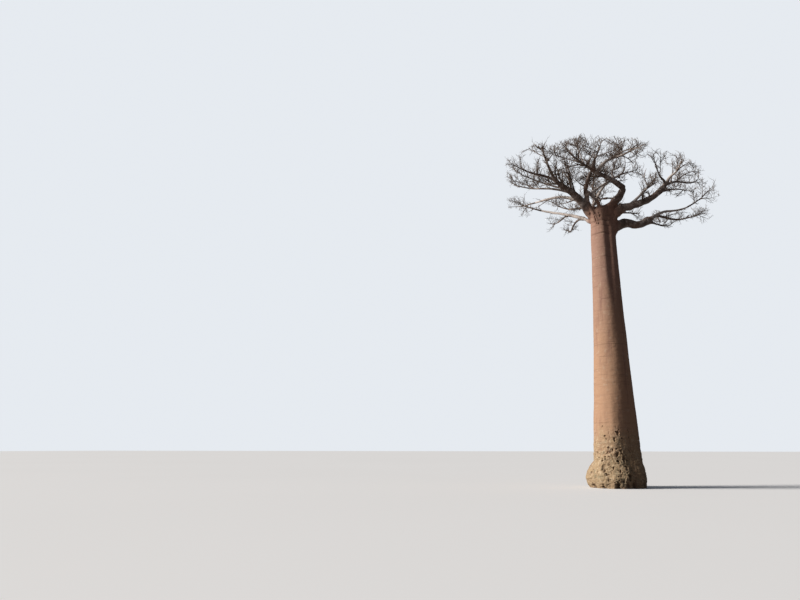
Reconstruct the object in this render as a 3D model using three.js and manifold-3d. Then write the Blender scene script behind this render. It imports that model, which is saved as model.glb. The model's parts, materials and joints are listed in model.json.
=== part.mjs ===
// A leafless baobab: one stout trunk with a lobed foot, a flat crown of crooked boughs, and bare twigs at
// their ends.
// Millimetres, +Z up. The origin is at the middle of the flat cut under the trunk, at ground level.

import * as THREE from 'three';
import { mergeVertices } from 'three/addons/utils/BufferGeometryUtils.js';
import Module from 'manifold-3d';

const wasm = await Module();
wasm.setup();

// Trunk: its height to the fork, its lean, and its radius at the foot and under the crown
const TRUNK_TOP = 18500;
const TRUNK_SIDES = 36;
const TRUNK_RINGS = 26;
const RING_CROWDING = 0.8;
const FOOT_CENTRE_X = 200;
const LEAN = 0.0105;
const CROWN_RADIUS = 780;
const FOOT_EXTRA = 780;
const TAPER_POWER = 1.6;

// Fork: the trunk is narrower from front to back there, swells to a collar and closes in a low dome
const SQUEEZE = 0.16;
const SQUEEZE_START = 11000;
const SQUEEZE_FULL = 15500;
const COLLAR_START = 17200;
const COLLAR_FULL = 18100;
const COLLAR_SWELL = 170;
const DOME_START = 17950;
const DOME_HEIGHT = 570;

// Lobes of the foot: heading seen from above, how far each swells, how high it runs and its width in degrees
const FOOT_LOBES = [
  { heading: 187, swell: 460, height: 1600, width: 36 },
  { heading: 236, swell: 190, height: 1300, width: 16 },
  { heading: 264, swell: 170, height: 1100, width: 12 },
  { heading: 291, swell: 200, height: 1500, width: 14 },
  { heading: 324, swell: 170, height: 1900, width: 15 },
  { heading: 2, swell: 110, height: 1500, width: 17 },
  { heading: 44, swell: 230, height: 1800, width: 18 },
  { heading: 88, swell: 180, height: 1400, width: 16 },
  { heading: 132, swell: 240, height: 1700, width: 18 },
];
const LOBE_TUCK = 0.15;

// Grooves that part the main column from the side column which carries the low right bough
const GROOVES = [
  { heading: -62, depth: 150, width: 15, start: 10500, full: 15000 },
  { heading: 48, depth: 110, width: 17, start: 12500, full: 16000 },
];

// Boughs. seat is a point inside the trunk; from and at name a parent bough and how far along it the bough
// leaves. heading is seen from above, reach is level and climb upright. arch bows the limb up, sway bows it
// sideways, and wave lifts its near half and drops its far half. base and tip are radii, and knuckle thickens
// the far end. twigs is how far the bare twigs at its end reach past it.
const BOUGH_TABLE = [
  { name: 'low_right', seat: [800, 0, 16750], heading: 30, reach: 3300, climb: 1100,
    arch: 100, sway: 200, wave: 200, base: 370, tip: 230, knuckle: 55 },
  { name: 'right', seat: [750, 50, 17750], heading: -15, reach: 4000, climb: 1600,
    arch: -400, sway: -200, wave: 200, base: 360, tip: 165, knuckle: 25 },
  { name: 'left', seat: [-150, 0, 17700], heading: -120, reach: 5600, climb: 3200,
    sway: -400, wave: 400, base: 330, tip: 65, twigs: 300 },
  { name: 'bent', seat: [850, -100, 17900], heading: -45, reach: 1500, climb: 1300,
    arch: 200, sway: 100, wave: 100, base: 290, tip: 225 },
  { name: 'bent_over', from: 'bent', at: 0.98, heading: -130, reach: 5100, climb: 1300,
    arch: -200, sway: 100, wave: 100, base: 215, tip: 55, twigs: 450 },
  { name: 'front_prop', seat: [-350, -200, 17900], heading: -85, reach: 2900, climb: 2000,
    arch: 300, sway: -300, wave: 200, base: 170, tip: 125 },
  { name: 'low_left', seat: [0, 200, 17350], heading: 145, reach: 6400, climb: 3300,
    arch: 100, sway: -200, wave: 100, base: 155, tip: 50, twigs: 850 },
  { name: 'centre', seat: [-100, 400, 18050], heading: 75, reach: 800, climb: 3800,
    sway: 100, base: 95, tip: 45, twigs: 950 },
  { name: 'pale', seat: [-350, 100, 18100], heading: 25, reach: 3200, climb: 3300,
    arch: 900, sway: 200, wave: 100, base: 115, tip: 50, twigs: 700 },
  { name: 'back', seat: [100, 500, 18000], heading: 90, reach: 4000, climb: 3200,
    arch: -500, sway: -200, base: 120, tip: 45, twigs: 800 },
  { name: 'back_left', seat: [-200, 300, 18000], heading: 120, reach: 5200, climb: 2700,
    arch: 200, sway: -300, wave: 200, base: 115, tip: 45, twigs: 650 },
  { name: 'back_right', seat: [900, 400, 17700], heading: 60, reach: 3700, climb: 1300,
    arch: 300, sway: 300, base: 110, tip: 50, twigs: 500 },
  { name: 'left_side', from: 'left', at: 0.6, heading: -160, reach: 2800, climb: 1200,
    sway: 100, wave: 100, base: 95, tip: 45, twigs: 800 },
  { name: 'left_middle', from: 'left', at: 0.44, heading: 180, reach: 3000, climb: 1500,
    sway: -300, base: 80, tip: 40, twigs: 900 },
  { name: 'left_outer', from: 'left', at: 0.33, heading: 165, reach: 4000, climb: 1500,
    sway: 200, wave: 100, base: 90, tip: 40, twigs: 850 },
  { name: 'left_upright', from: 'left', at: 0.27, heading: -105, reach: 1400, climb: 1700,
    arch: -200, base: 80, tip: 40, twigs: 900 },
  { name: 'left_back', from: 'left', at: 0.2, heading: 140, reach: 5600, climb: 1500,
    arch: 400, wave: 100, base: 130, tip: 50, twigs: 850 },
  { name: 'low_left_fork', from: 'low_left', at: 0.32, heading: 120, reach: 3200, climb: 500,
    arch: 100, wave: 100, base: 75, tip: 40, twigs: 500 },
  { name: 'low_left_hook', from: 'low_left', at: 0.17, heading: 110, reach: 3700, climb: 400,
    arch: -100, sway: 200, wave: 200, base: 85, tip: 45, twigs: 500 },
  { name: 'front', from: 'bent_over', at: 0.58, heading: -80, reach: 2300, climb: 400,
    arch: 100, sway: -100, wave: 100, base: 100, tip: 50, twigs: 750 },
  { name: 'front_right', from: 'bent_over', at: 0.54, heading: -25, reach: 2500, climb: 700,
    arch: 300, sway: 100, wave: 100, base: 115, tip: 50, twigs: 800 },
  { name: 'front_right_side', from: 'front_right', at: 0.4, heading: -50, reach: 2200, climb: -300,
    arch: 100, sway: -100, base: 65, tip: 35, twigs: 800 },
  { name: 'bent_upright', from: 'bent_over', at: 0.18, heading: 70, reach: 300, climb: 1400,
    sway: 200, base: 75, tip: 40, twigs: 800 },
  { name: 'right_front', from: 'right', at: 0.97, heading: -110, reach: 2200, climb: 800,
    arch: -300, wave: 100, base: 90, tip: 40, twigs: 600 },
  { name: 'right_upright', from: 'right', at: 0.98, heading: -30, reach: 1000, climb: 1000,
    arch: -100, sway: -100, wave: 100, base: 95, tip: 50, twigs: 650 },
  { name: 'right_outer', from: 'right', at: 0.95, heading: 40, reach: 2700, climb: 700,
    sway: -200, wave: 100, base: 80, tip: 40, twigs: 850 },
  { name: 'right_back', from: 'right', at: 0.84, heading: 55, reach: 3500, climb: 1000,
    arch: 100, sway: -200, base: 75, tip: 40, twigs: 700 },
  { name: 'right_inner', from: 'right', at: 0.38, heading: 50, reach: 3000, climb: 2700,
    sway: -100, base: 125, tip: 45, twigs: 700 },
  { name: 'low_right_outer', from: 'low_right', at: 0.97, heading: 25, reach: 4000, climb: 1800,
    sway: 500, wave: 200, base: 120, tip: 50, twigs: 1200 },
  { name: 'low_right_middle', from: 'low_right', at: 0.95, heading: 40, reach: 4300, climb: 900,
    arch: 200, sway: 600, wave: 200, base: 130, tip: 50, twigs: 1050 },
  { name: 'low_right_back', from: 'low_right', at: 0.88, heading: 60, reach: 2900, climb: 400,
    sway: 100, base: 70, tip: 40, twigs: 600 },
];
const STRAIGHT = { arch: 0, sway: 0, wave: 0, knuckle: 0 };
const BOUGHS = BOUGH_TABLE.map((row) => ({ ...STRAIGHT, ...row }));
const BOUGH_SIDES = 7;
const BOUGH_STEP = 600;
const FEWEST_RINGS = 4;
const BOUGH_TAPER = 1.3;
const ROOT_SWELL = 0.35;
const ROOT_FADE = 450;
const KNUCKLE_AT = 0.93;
const KNUCKLE_SPREAD = 0.09;
const BOUGH_END = 0.76;
const CAP_SHARE = 0.499;
const SEAT_GAP = 0.4;

// Twigs: a stem carries on along its bough, shoots leave it, and shorter shoots leave those
const STEM = { sides: 4, steps: 4, tip: 12 };
const SHOOTS = [
  { every: 400, share: 0.52, spread: 50, steps: 2, girth: 0.6 },
  { every: 400, share: 0.6, spread: 44, steps: 1, girth: 0.7 },
];
const SHOOT_SIDES = 3;
const SHOOT_FIRST = 0.16;
const SHOOT_LONGEST = 1.35;
const SHOOT_SHORTENING = 0.85;
const PLACE_LOW = 0.2;
const PLACE_SPREAD = 0.6;
const LIFT = 0.3;
const STEM_LIFT = 0.12;
const WANDER = 0.16;
const GOLDEN_ANGLE = 137.5;
const AZIMUTH_JITTER = 50;
const SPACE_MARGIN = 40;
const LIMB_MARGIN = 30;
const LIMB_SAMPLE = 250;
const MIDDLE_PAST_TIP = 0.1;
const STEM_AIM = 0.98;
const FIT_SAMPLES = [0.35, 0.6, 0.8, 1];
const STEM_GIRTH = 0.97;

const UP = new THREE.Vector3(0, 0, 1);
const rad = THREE.MathUtils.degToRad;

const trunkBark = new THREE.MeshStandardMaterial({ color: 0xb58c74, roughness: 0.85, metalness: 0 });
const boughBark = new THREE.MeshStandardMaterial({ color: 0x9b8375, roughness: 0.88, metalness: 0 });
const twigBark = new THREE.MeshStandardMaterial({ color: 0x7d685c, roughness: 0.9, metalness: 0 });

// Numbers from 0 to 1 that follow from a whole-number seed
function numbersFrom(seed) {
  let state = seed >>> 0;
  return () => {
    state = (state + 0x6d2b79f5) >>> 0;
    let mixed = Math.imul(state ^ (state >>> 15), state | 1);
    mixed ^= mixed + Math.imul(mixed ^ (mixed >>> 7), mixed | 61);
    return ((mixed ^ (mixed >>> 14)) >>> 0) / 4294967296;
  };
}

function ease(value, start, full) {
  const share = Math.min(Math.max((value - start) / (full - start), 0), 1);
  return share * share * (3 - 2 * share);
}

// How strongly a lobe or groove of a given width shows at an angle, all in degrees
function hump(angle, heading, width) {
  const turn = ((angle - heading + 540) % 360) - 180;
  return Math.exp(-((turn / width) ** 2));
}

function lobeProfile(height, lobe) {
  if (height > lobe.height) return 0;
  const share = LOBE_TUCK + (1 - LOBE_TUCK) * height / lobe.height;
  return Math.sin(Math.PI * share);
}

function trunkRadius(angle, height) {
  const slenderness = Math.max(1 - height / TRUNK_TOP, 0) ** TAPER_POWER;
  let radius = CROWN_RADIUS + FOOT_EXTRA * slenderness;
  for (const lobe of FOOT_LOBES) {
    radius += lobe.swell * lobeProfile(height, lobe) * hump(angle, lobe.heading, lobe.width);
  }
  radius *= 1 - SQUEEZE * ease(height, SQUEEZE_START, SQUEEZE_FULL) * Math.sin(rad(angle)) ** 2;
  for (const groove of GROOVES) {
    const depth = groove.depth * ease(height, groove.start, groove.full);
    radius -= depth * hump(angle, groove.heading, groove.width);
  }
  radius += COLLAR_SWELL * ease(height, COLLAR_START, COLLAR_FULL);
  const domeShare = Math.max(height - DOME_START, 0) / DOME_HEIGHT;
  return radius * Math.sqrt(1 - domeShare ** 2);
}

// Moves every corner of a geometry, then makes it one closed solid with shared corners
function reshape(geometry, place) {
  geometry.deleteAttribute('normal');
  geometry.deleteAttribute('uv');
  const merged = mergeVertices(geometry, 1e-6);
  const corners = merged.getAttribute('position');
  for (let i = 0; i < corners.count; i += 1) {
    const point = place(corners.getX(i), corners.getY(i), corners.getZ(i));
    corners.setXYZ(i, point.x, point.y, point.z);
  }
  return new wasm.Manifold(new wasm.Mesh({
    numProp: 3,
    vertProperties: Float32Array.from(corners.array),
    triVerts: Uint32Array.from(merged.getIndex().array),
  }));
}

// The crown's solids are worked out about the trunk's top, so that their corners keep their full precision
function trunkSolid(grown) {
  const cylinder = new THREE.CylinderGeometry(1, 1, 1, TRUNK_SIDES, TRUNK_RINGS);
  return reshape(cylinder, (x, y, z) => {
    const share = y + 0.5;
    const height = TRUNK_TOP * (share - RING_CROWDING * Math.sin(2 * Math.PI * share) / (2 * Math.PI));
    const angle = Math.atan2(-z, x);
    const rim = Math.hypot(x, z);
    const radius = rim * (trunkRadius(THREE.MathUtils.radToDeg(angle), height) + grown);
    const centre = FOOT_CENTRE_X + LEAN * height;
    const lift = grown * Math.max(height - DOME_START, 0) / DOME_HEIGHT;
    const across = centre + radius * Math.cos(angle);
    return new THREE.Vector3(across, radius * Math.sin(angle), height + lift - TRUNK_TOP);
  });
}

const boughByName = new Map(BOUGHS.map((bough) => [bough.name, bough]));

// The point a share of the way along a bough's whole course, from its seat to where its twigs thin out
function boughPoint(bough, share) {
  const start = bough.seat
    ? new THREE.Vector3(...bough.seat).setZ(bough.seat[2] - TRUNK_TOP)
    : boughPoint(boughByName.get(bough.from), bough.at);
  const heading = rad(bough.heading);
  const along = new THREE.Vector3(Math.cos(heading), Math.sin(heading), 0);
  const side = new THREE.Vector3(-Math.sin(heading), Math.cos(heading), 0);
  const bow = 4 * share * (1 - share);
  return start
    .addScaledVector(along, bough.reach * share)
    .addScaledVector(side, bough.sway * bow)
    .addScaledVector(UP, bough.climb * share + bough.arch * bow + bough.wave * Math.sin(2 * Math.PI * share));
}

function boughDirection(bough, share) {
  const step = 0.01;
  const ahead = boughPoint(bough, share + step);
  return ahead.sub(boughPoint(bough, share - step)).normalize();
}

function boughLength(bough) {
  return Math.hypot(bough.reach, bough.climb);
}

function boughRadius(bough, share) {
  const thinning = Math.max(1 - share, 0) ** BOUGH_TAPER;
  const root = 1 + ROOT_SWELL * Math.exp(-share * boughLength(bough) / ROOT_FADE);
  const knuckle = bough.knuckle * Math.exp(-(((share - KNUCKLE_AT) / KNUCKLE_SPREAD) ** 2));
  return (bough.tip + (bough.base - bough.tip) * thinning) * root + knuckle;
}

function boughEnd(bough) {
  return bough.twigs ? BOUGH_END : 1;
}

function boughSolid(bough, grown) {
  const end = boughEnd(bough);
  const rings = Math.max(FEWEST_RINGS, Math.round(boughLength(bough) * end / BOUGH_STEP));
  const cylinder = new THREE.CylinderGeometry(1, 1, 1, BOUGH_SIDES, rings);
  const heading = rad(bough.heading);
  const side = new THREE.Vector3(-Math.sin(heading), Math.cos(heading), 0);
  return reshape(cylinder, (x, y, z) => {
    const share = (y + 0.5) * end;
    const direction = boughDirection(bough, share);
    const over = new THREE.Vector3().crossVectors(side, direction).normalize();
    const level = new THREE.Vector3().crossVectors(direction, over);
    const radius = boughRadius(bough, share) + grown;
    const pastEnd = Math.abs(y) > CAP_SHARE ? grown * Math.sign(y) : 0;
    return boughPoint(bough, share)
      .addScaledVector(direction, pastEnd)
      .addScaledVector(level, radius * x)
      .addScaledVector(new THREE.Vector3().crossVectors(level, direction), radius * z);
  });
}

// Of the pieces that a cut leaves, the largest
function largest(solid) {
  return solid.decompose().reduce((best, piece) => (piece.volume() > best.volume() ? piece : best));
}

function boxesMeet(a, b) {
  const [first, second] = [a.boundingBox(), b.boundingBox()];
  const meet = (axis) => first.min[axis] <= second.max[axis] && second.min[axis] <= first.max[axis];
  return [0, 1, 2].every(meet);
}

function toMesh(name, solid, material) {
  const { vertProperties, triVerts } = solid.getMesh();
  const geometry = new THREE.BufferGeometry();
  geometry.setAttribute('position', new THREE.BufferAttribute(vertProperties, 3));
  geometry.setIndex(new THREE.BufferAttribute(triVerts, 1));
  geometry.computeVertexNormals();
  const mesh = new THREE.Mesh(geometry, material);
  mesh.name = name;
  return mesh;
}

// Each mass of twigs keeps to the points that are nearer to its own middle than to any other's
const masses = BOUGHS.filter((bough) => bough.twigs).map((bough, index) => {
  const start = boughPoint(bough, BOUGH_END);
  const tip = boughPoint(bough, 1);
  const beyond = boughDirection(bough, STEM_AIM).addScaledVector(UP, STEM_LIFT).normalize();
  const middle = tip.clone().addScaledVector(beyond, bough.twigs * MIDDLE_PAST_TIP);
  return { bough, start, tip, beyond, middle, seed: index + 1 };
});

function insideSpace(point, mass, margin) {
  return masses.every((other) => {
    if (other === mass) return true;
    const between = other.middle.distanceTo(mass.middle);
    const lead = point.distanceToSquared(other.middle) - point.distanceToSquared(mass.middle);
    return lead / (2 * between) > margin;
  });
}

const limbCourses = BOUGHS.map((bough) => {
  const count = Math.ceil(boughLength(bough) / LIMB_SAMPLE);
  return Array.from({ length: count + 1 }, (_, i) => {
    const share = (i / count) * boughEnd(bough);
    return { point: boughPoint(bough, share), radius: boughRadius(bough, share) };
  });
});

function clearOfLimbs(point, margin) {
  const nearest = new THREE.Vector3();
  return limbCourses.every((course) => course.slice(1).every((to, i) => {
    new THREE.Line3(course[i].point, to.point).closestPointToPoint(point, true, nearest);
    return nearest.distanceTo(point) > Math.max(course[i].radius, to.radius) + margin;
  }));
}

// One shoot: it bends towards the light and wanders a little at each step
function shootCourse(start, direction, length, steps, random) {
  const course = [start.clone()];
  const heading = direction.clone();
  for (let i = 0; i < steps; i += 1) {
    const stray = new THREE.Vector3(random() - 0.5, random() - 0.5, random() - 0.5);
    heading.addScaledVector(stray, 2 * WANDER).addScaledVector(UP, LIFT / steps).normalize();
    course.push(course[i].clone().addScaledVector(heading, length / steps));
  }
  return course;
}

function pointOn(course, share) {
  const place = Math.min(share, 0.9999) * (course.length - 1);
  const i = Math.floor(place);
  return course[i].clone().lerp(course[i + 1], place - i);
}

function directionOn(course, share) {
  const i = Math.floor(Math.min(share, 0.9999) * (course.length - 1));
  return course[i + 1].clone().sub(course[i]).normalize();
}

// The way a shoot leaves its parent: tipped by spread, and turned round the parent by azimuth
function sideways(direction, spread, azimuth) {
  const across = new THREE.Vector3().crossVectors(direction, UP).normalize();
  const over = new THREE.Vector3().crossVectors(across, direction);
  return direction.clone().multiplyScalar(Math.cos(rad(spread)))
    .addScaledVector(across, Math.sin(rad(spread)) * Math.cos(rad(azimuth)))
    .addScaledVector(over, Math.sin(rad(spread)) * Math.sin(rad(azimuth)));
}

function fits(course, radius, mass) {
  return FIT_SAMPLES.every((share) => {
    const point = pointOn(course, share);
    return insideSpace(point, mass, SPACE_MARGIN + radius) && clearOfLimbs(point, LIMB_MARGIN + radius);
  });
}

// Shoots of one level on a parent, each followed by its own shoots
function addShoots(shoots, parent, level, mass) {
  const rule = SHOOTS[level];
  if (!rule) return;
  const count = Math.round(parent.length * (1 - SHOOT_FIRST) / rule.every);
  for (let i = 0; i < count; i += 1) {
    const seed = (Math.imul(parent.seed, 31) + i + 1) >>> 0;
    const random = numbersFrom(seed);
    const share = SHOOT_FIRST + (1 - SHOOT_FIRST) * (i + PLACE_LOW + PLACE_SPREAD * random()) / count;
    const azimuth = parent.turn + i * GOLDEN_ANGLE + AZIMUTH_JITTER * (random() - 0.5);
    const direction = sideways(directionOn(parent.course, share), rule.spread, azimuth);
    const length = parent.length * rule.share * (SHOOT_LONGEST - SHOOT_SHORTENING * share);
    const radius = Math.max((parent.radius + (parent.tip - parent.radius) * share) * rule.girth, STEM.tip);
    const course = shootCourse(pointOn(parent.course, share), direction, length, rule.steps, random);
    const shoot = { course, radius, tip: STEM.tip, length, seed, turn: azimuth, facing: direction };
    if (fits(course, radius, mass)) {
      shoots.push(shoot);
      addShoots(shoots, shoot, level + 1, mass);
    }
  }
}

function growMass(mass) {
  const random = numbersFrom(mass.seed);
  const along = boughDirection(mass.bough, BOUGH_END);
  const start = mass.start.clone().addScaledVector(along, SEAT_GAP);
  const bend = boughPoint(mass.bough, (1 + BOUGH_END) / 2);
  const beyond = shootCourse(mass.tip, mass.beyond, mass.bough.twigs, STEM.steps - 2, random);
  const course = [start, bend, ...beyond];
  const radius = boughRadius(mass.bough, BOUGH_END) * STEM_GIRTH;
  const length = course.slice(1).reduce((sum, point, i) => sum + point.distanceTo(course[i]), 0);
  const turn = 360 * random();
  const stem = { course, radius, tip: STEM.tip, length, seed: mass.seed, turn, facing: along };
  const shoots = [stem];
  addShoots(shoots, stem, 0, mass);
  return shoots;
}

// A twig is a slim cone bent along its course. A stem starts square to its bough's cut end.
function twigSolid(shoot) {
  const { course, radius, facing } = shoot;
  const steps = course.length - 1;
  const cone = new THREE.CylinderGeometry(0, 1, 1, steps > 2 ? STEM.sides : SHOOT_SIDES, steps);
  return reshape(cone, (x, y, z) => {
    const i = Math.round((y + 0.5) * steps);
    const ahead = course[Math.min(i + 1, steps)].clone().sub(course[Math.max(i - 1, 0)]).normalize();
    const direction = i === 0 ? facing : ahead;
    const across = new THREE.Vector3().crossVectors(direction, UP).normalize();
    const over = new THREE.Vector3().crossVectors(across, direction);
    return course[i].clone().addScaledVector(across, radius * x).addScaledVector(over, radius * z);
  });
}

function massSolid(mass) {
  const shoots = growMass(mass);
  return largest(wasm.Manifold.union(shoots.map(twigSolid)));
}

const tree = new THREE.Group();
const crown = new THREE.Group();
crown.position.z = TRUNK_TOP;
tree.add(crown);

crown.add(toMesh('trunk', trunkSolid(0), trunkBark));

// Each bough is cut clear of the trunk and of the boughs before it
const taken = [trunkSolid(SEAT_GAP)];
for (const bough of BOUGHS) {
  let solid = boughSolid(bough, 0);
  for (const other of taken) {
    if (boxesMeet(solid, other)) solid = largest(solid.subtract(other));
  }
  taken.push(boughSolid(bough, SEAT_GAP));
  crown.add(toMesh(`bough_${bough.name}`, solid, boughBark));
}

for (const mass of masses) {
  crown.add(toMesh(`twigs_${mass.bough.name}`, massSolid(mass), twigBark));
}

export default tree;
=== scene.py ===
# A leafless baobab dressed over its frame: bark with relief on the trunk and boughs, and twigs grown fine.
# Metres, +Z up. The origin is at the middle of the flat cut under the trunk, at ground level.

import json
import math
from dataclasses import dataclass, replace

import bmesh
import bpy
import numpy as np
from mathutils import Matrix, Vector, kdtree, noise

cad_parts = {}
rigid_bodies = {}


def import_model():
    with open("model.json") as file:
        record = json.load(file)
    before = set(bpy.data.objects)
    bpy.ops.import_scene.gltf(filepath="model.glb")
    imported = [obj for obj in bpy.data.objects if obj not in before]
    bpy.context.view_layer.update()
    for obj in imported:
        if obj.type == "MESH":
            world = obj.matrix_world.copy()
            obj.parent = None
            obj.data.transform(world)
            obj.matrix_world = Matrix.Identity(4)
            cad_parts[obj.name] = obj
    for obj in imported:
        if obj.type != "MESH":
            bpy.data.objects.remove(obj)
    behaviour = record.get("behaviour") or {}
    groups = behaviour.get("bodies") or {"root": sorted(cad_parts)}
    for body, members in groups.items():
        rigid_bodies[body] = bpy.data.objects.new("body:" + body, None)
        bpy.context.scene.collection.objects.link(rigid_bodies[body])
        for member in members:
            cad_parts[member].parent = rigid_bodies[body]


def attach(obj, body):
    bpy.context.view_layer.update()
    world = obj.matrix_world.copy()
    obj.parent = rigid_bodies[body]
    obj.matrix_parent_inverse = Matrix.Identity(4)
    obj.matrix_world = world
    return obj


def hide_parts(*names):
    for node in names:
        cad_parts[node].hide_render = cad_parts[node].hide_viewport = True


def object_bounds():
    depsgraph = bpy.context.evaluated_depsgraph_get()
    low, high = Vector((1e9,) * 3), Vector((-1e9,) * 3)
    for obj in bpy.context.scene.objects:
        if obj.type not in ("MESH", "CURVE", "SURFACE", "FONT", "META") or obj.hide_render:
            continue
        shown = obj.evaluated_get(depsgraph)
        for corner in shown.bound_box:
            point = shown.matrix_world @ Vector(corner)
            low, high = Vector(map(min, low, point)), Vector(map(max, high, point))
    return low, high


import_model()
cad_low, cad_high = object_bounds()
scene = bpy.context.scene

# The viewer stands in front of the trunk at eye height and looks up and to the left. Angles are in degrees.
VIEW_DISTANCE = 43.5
EYE_HEIGHT = 2.39
TILT_UP = 13.02
TURN_LEFT = 17.97
LENS_MM = 28.8
SENSOR_MM = 36
FARTHEST_SEEN = 2000

# The key light comes from the left, a little from the front. The floor reflects less than it shows.
KEY_HEADING = 201
KEY_ELEVATION = 27
KEY_STRENGTH = 4.8
KEY_SOFTNESS = 20
KEY_COLOUR = (1.0, 0.93, 0.84)
FILL_STRENGTH = 0.14
FILL_COLOUR = (0.80, 0.88, 1.0)
BACKDROP_STRENGTH = 0.92
BACKDROP_COLOUR = (0.86, 0.9, 0.95)
FLOOR_SIZE = 900
FLOOR_COLOUR = (0.90, 0.92, 0.96)
FLOOR_PATCH = 30
FLOOR_PATCH_SHADE = 0.96
FLOOR_ROUGHNESS = 0.95
FLOOR_BOUNCE = (0.17, 0.15, 0.14)

# Trunk: its height to the fork, its lean, and its radius at the foot and under the crown
TRUNK_TOP = 18.5
FOOT_CENTRE_X = 0.2
LEAN = 0.0105
CROWN_RADIUS = 0.78
FOOT_EXTRA = 0.78
TAPER_POWER = 1.6

# Fork: the trunk is narrower from front to back there, swells to a collar and closes in a low dome
SQUEEZE = 0.16
SQUEEZE_START = 11.0
SQUEEZE_FULL = 15.5
COLLAR_START = 17.2
COLLAR_FULL = 18.1
COLLAR_SWELL = 0.17
DOME_START = 17.95
DOME_HEIGHT = 0.57

# Lobes of the foot: heading seen from above, how far each swells, how high it runs and its width in degrees
FOOT_LOBES = [
    (187, 0.46, 1.6, 36),
    (236, 0.19, 1.3, 16),
    (264, 0.17, 1.1, 12),
    (291, 0.20, 1.5, 14),
    (324, 0.17, 1.9, 15),
    (2, 0.11, 1.5, 17),
    (44, 0.23, 1.8, 18),
    (88, 0.18, 1.4, 16),
    (132, 0.24, 1.7, 18),
]
LOBE_TUCK = 0.15

# Grooves that part the main column from the side column: heading, depth, width in degrees, and the heights
# between which each deepens
GROOVES = [(-62, 0.15, 15, 10.5, 15.0), (48, 0.11, 17, 12.5, 16.0)]

# The skin of the trunk is in three parts: its foot, its column, and its top with the boughs. Each mesh is so
# many points round and so many up, which lie closer together towards the ground on the foot.
FOOT_TOP = 4.1
COLUMN_TOP = 15.6
FOOT_MESH = (320, 250)
COLUMN_MESH = (184, 420)
TOP_MESH = (120, 90)
FOOT_CROWDING = 1.15
TOP_OVERLAP = 0.4

# Pits that show at the front of the foot: heading, height, radius and depth
FRONT_PITS = [
    (235, 1.2, 0.11, 0.10), (240, 1.0, 0.09, 0.09), (245, 0.8, 0.08, 0.10), (240, 3.1, 0.07, 0.06),
    (240, 1.8, 0.08, 0.07), (250, 2.4, 0.09, 0.07), (275, 3.3, 0.10, 0.09), (285, 1.8, 0.11, 0.09),
    (270, 1.6, 0.08, 0.08), (290, 1.2, 0.10, 0.10), (275, 1.0, 0.08, 0.08), (295, 0.7, 0.12, 0.12),
    (265, 2.9, 0.07, 0.06), (270, 2.0, 0.10, 0.09), (215, 2.1, 0.07, 0.05), (220, 1.8, 0.06, 0.05),
    (280, 2.2, 0.08, 0.08), (250, 1.4, 0.07, 0.06), (230, 1.6, 0.06, 0.05), (260, 1.2, 0.08, 0.07),
    (235, 17.4, 0.11, 0.07), (250, 17.1, 0.06, 0.04), (260, 17.6, 0.08, 0.05),
]
FRONT_PIT_WIDTHS = (0.55, 1.05)

# Smaller pits cluster at some headings all round, and most of them lie low. Each is drawn between two limits.
PIT_SEED = 3
MORE_PITS = 130
PIT_CLUSTERS = (238, 252, 270, 286, 300, 345, 30, 80, 125, 170, 205)
PIT_SCATTER = 7
PIT_LOWEST = 0.35
PIT_HIGHEST = 3.7
PIT_SINKING = 1.7
PIT_RADII = (0.028, 0.07)
PIT_SHRINKING = 0.3
PIT_DEPTHS = (0.6, 1.1)
PIT_WIDTHS = (0.5, 1.3)

# A pit's edge is ragged and stands up in a rim. Its reach and the rim's place and width are in its own radii.
PIT_REACH = 4
PIT_STEEPNESS = 3
PIT_RAGGEDNESS = 0.9
RIM_HEIGHT = 0.2
RIM_AT = 1.35
RIM_WIDTH = 0.4

# Hollows at the ground between the lobes: heading, height, width in degrees and depth
CAVITIES = [
    (267.5, 0.42, 4.5, 0.24), (213, 0.3, 4, 0.12), (237, 0.25, 3.5, 0.1), (289, 0.38, 4, 0.16),
    (306, 0.5, 5, 0.16), (340, 0.45, 5, 0.15), (20, 0.5, 6, 0.16), (66, 0.45, 5, 0.15),
    (110, 0.5, 6, 0.17), (158, 0.4, 5, 0.14),
]
CAVITY_BENDS = ((3, 3, 0.3), 12)
CAVITY_BEND = 5
CAVITY_RAGGEDNESS = 3
CAVITY_TOP_RAGGEDNESS = 0.5
CAVITY_CLOSES_FROM = 0.5

# Creases run round the trunk, some of them in pairs, and lie further apart higher up
RING_SEED = 7
FIRST_RING = 1.3
RING_GAPS = (0.25, 0.6)
RING_SPREADING = 12
RING_DEEPEST = 0.011
RING_DEPTHS = (0.35, 1)
PAIR_CHANCE = 0.35
PAIR_GAPS = (0.09, 0.16)
PAIR_DEPTH = 0.6
RING_WIDTH = 0.022

# Folds under the fork: height, depth and seed
FORK_FOLDS = [(16.4, 0.028, 3), (16.95, 0.024, 5), (17.3, 0.022, 8), (17.62, 0.026, 11), (17.95, 0.03, 14)]
FOLD_WIDTH = 0.05

# Creases and folds waver up and down, and fade in and out round the trunk
RING_REACH = 0.3
RING_WAVES = ((0.8, 0.8, 3.0), 8)
RING_WAVER = 0.035
RING_PATCHES = (0.7, 0.7, 50)
PATCH_SEED = 20
PATCH_STRENGTH = 0.35
PATCHINESS = 1.7
RING_SHADE = 0.6

# The flat side of the lower trunk that turns away from the light: where it starts round the trunk, how far
# round it runs, its depth, and the heights between which it fades
FLAT_FROM = 262
FLAT_RUN = 80
FLAT_DEPTH = 0.13
FLAT_HOLLOWNESS = 1.6
FLAT_FADES = (2.4, 7.5)

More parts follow.
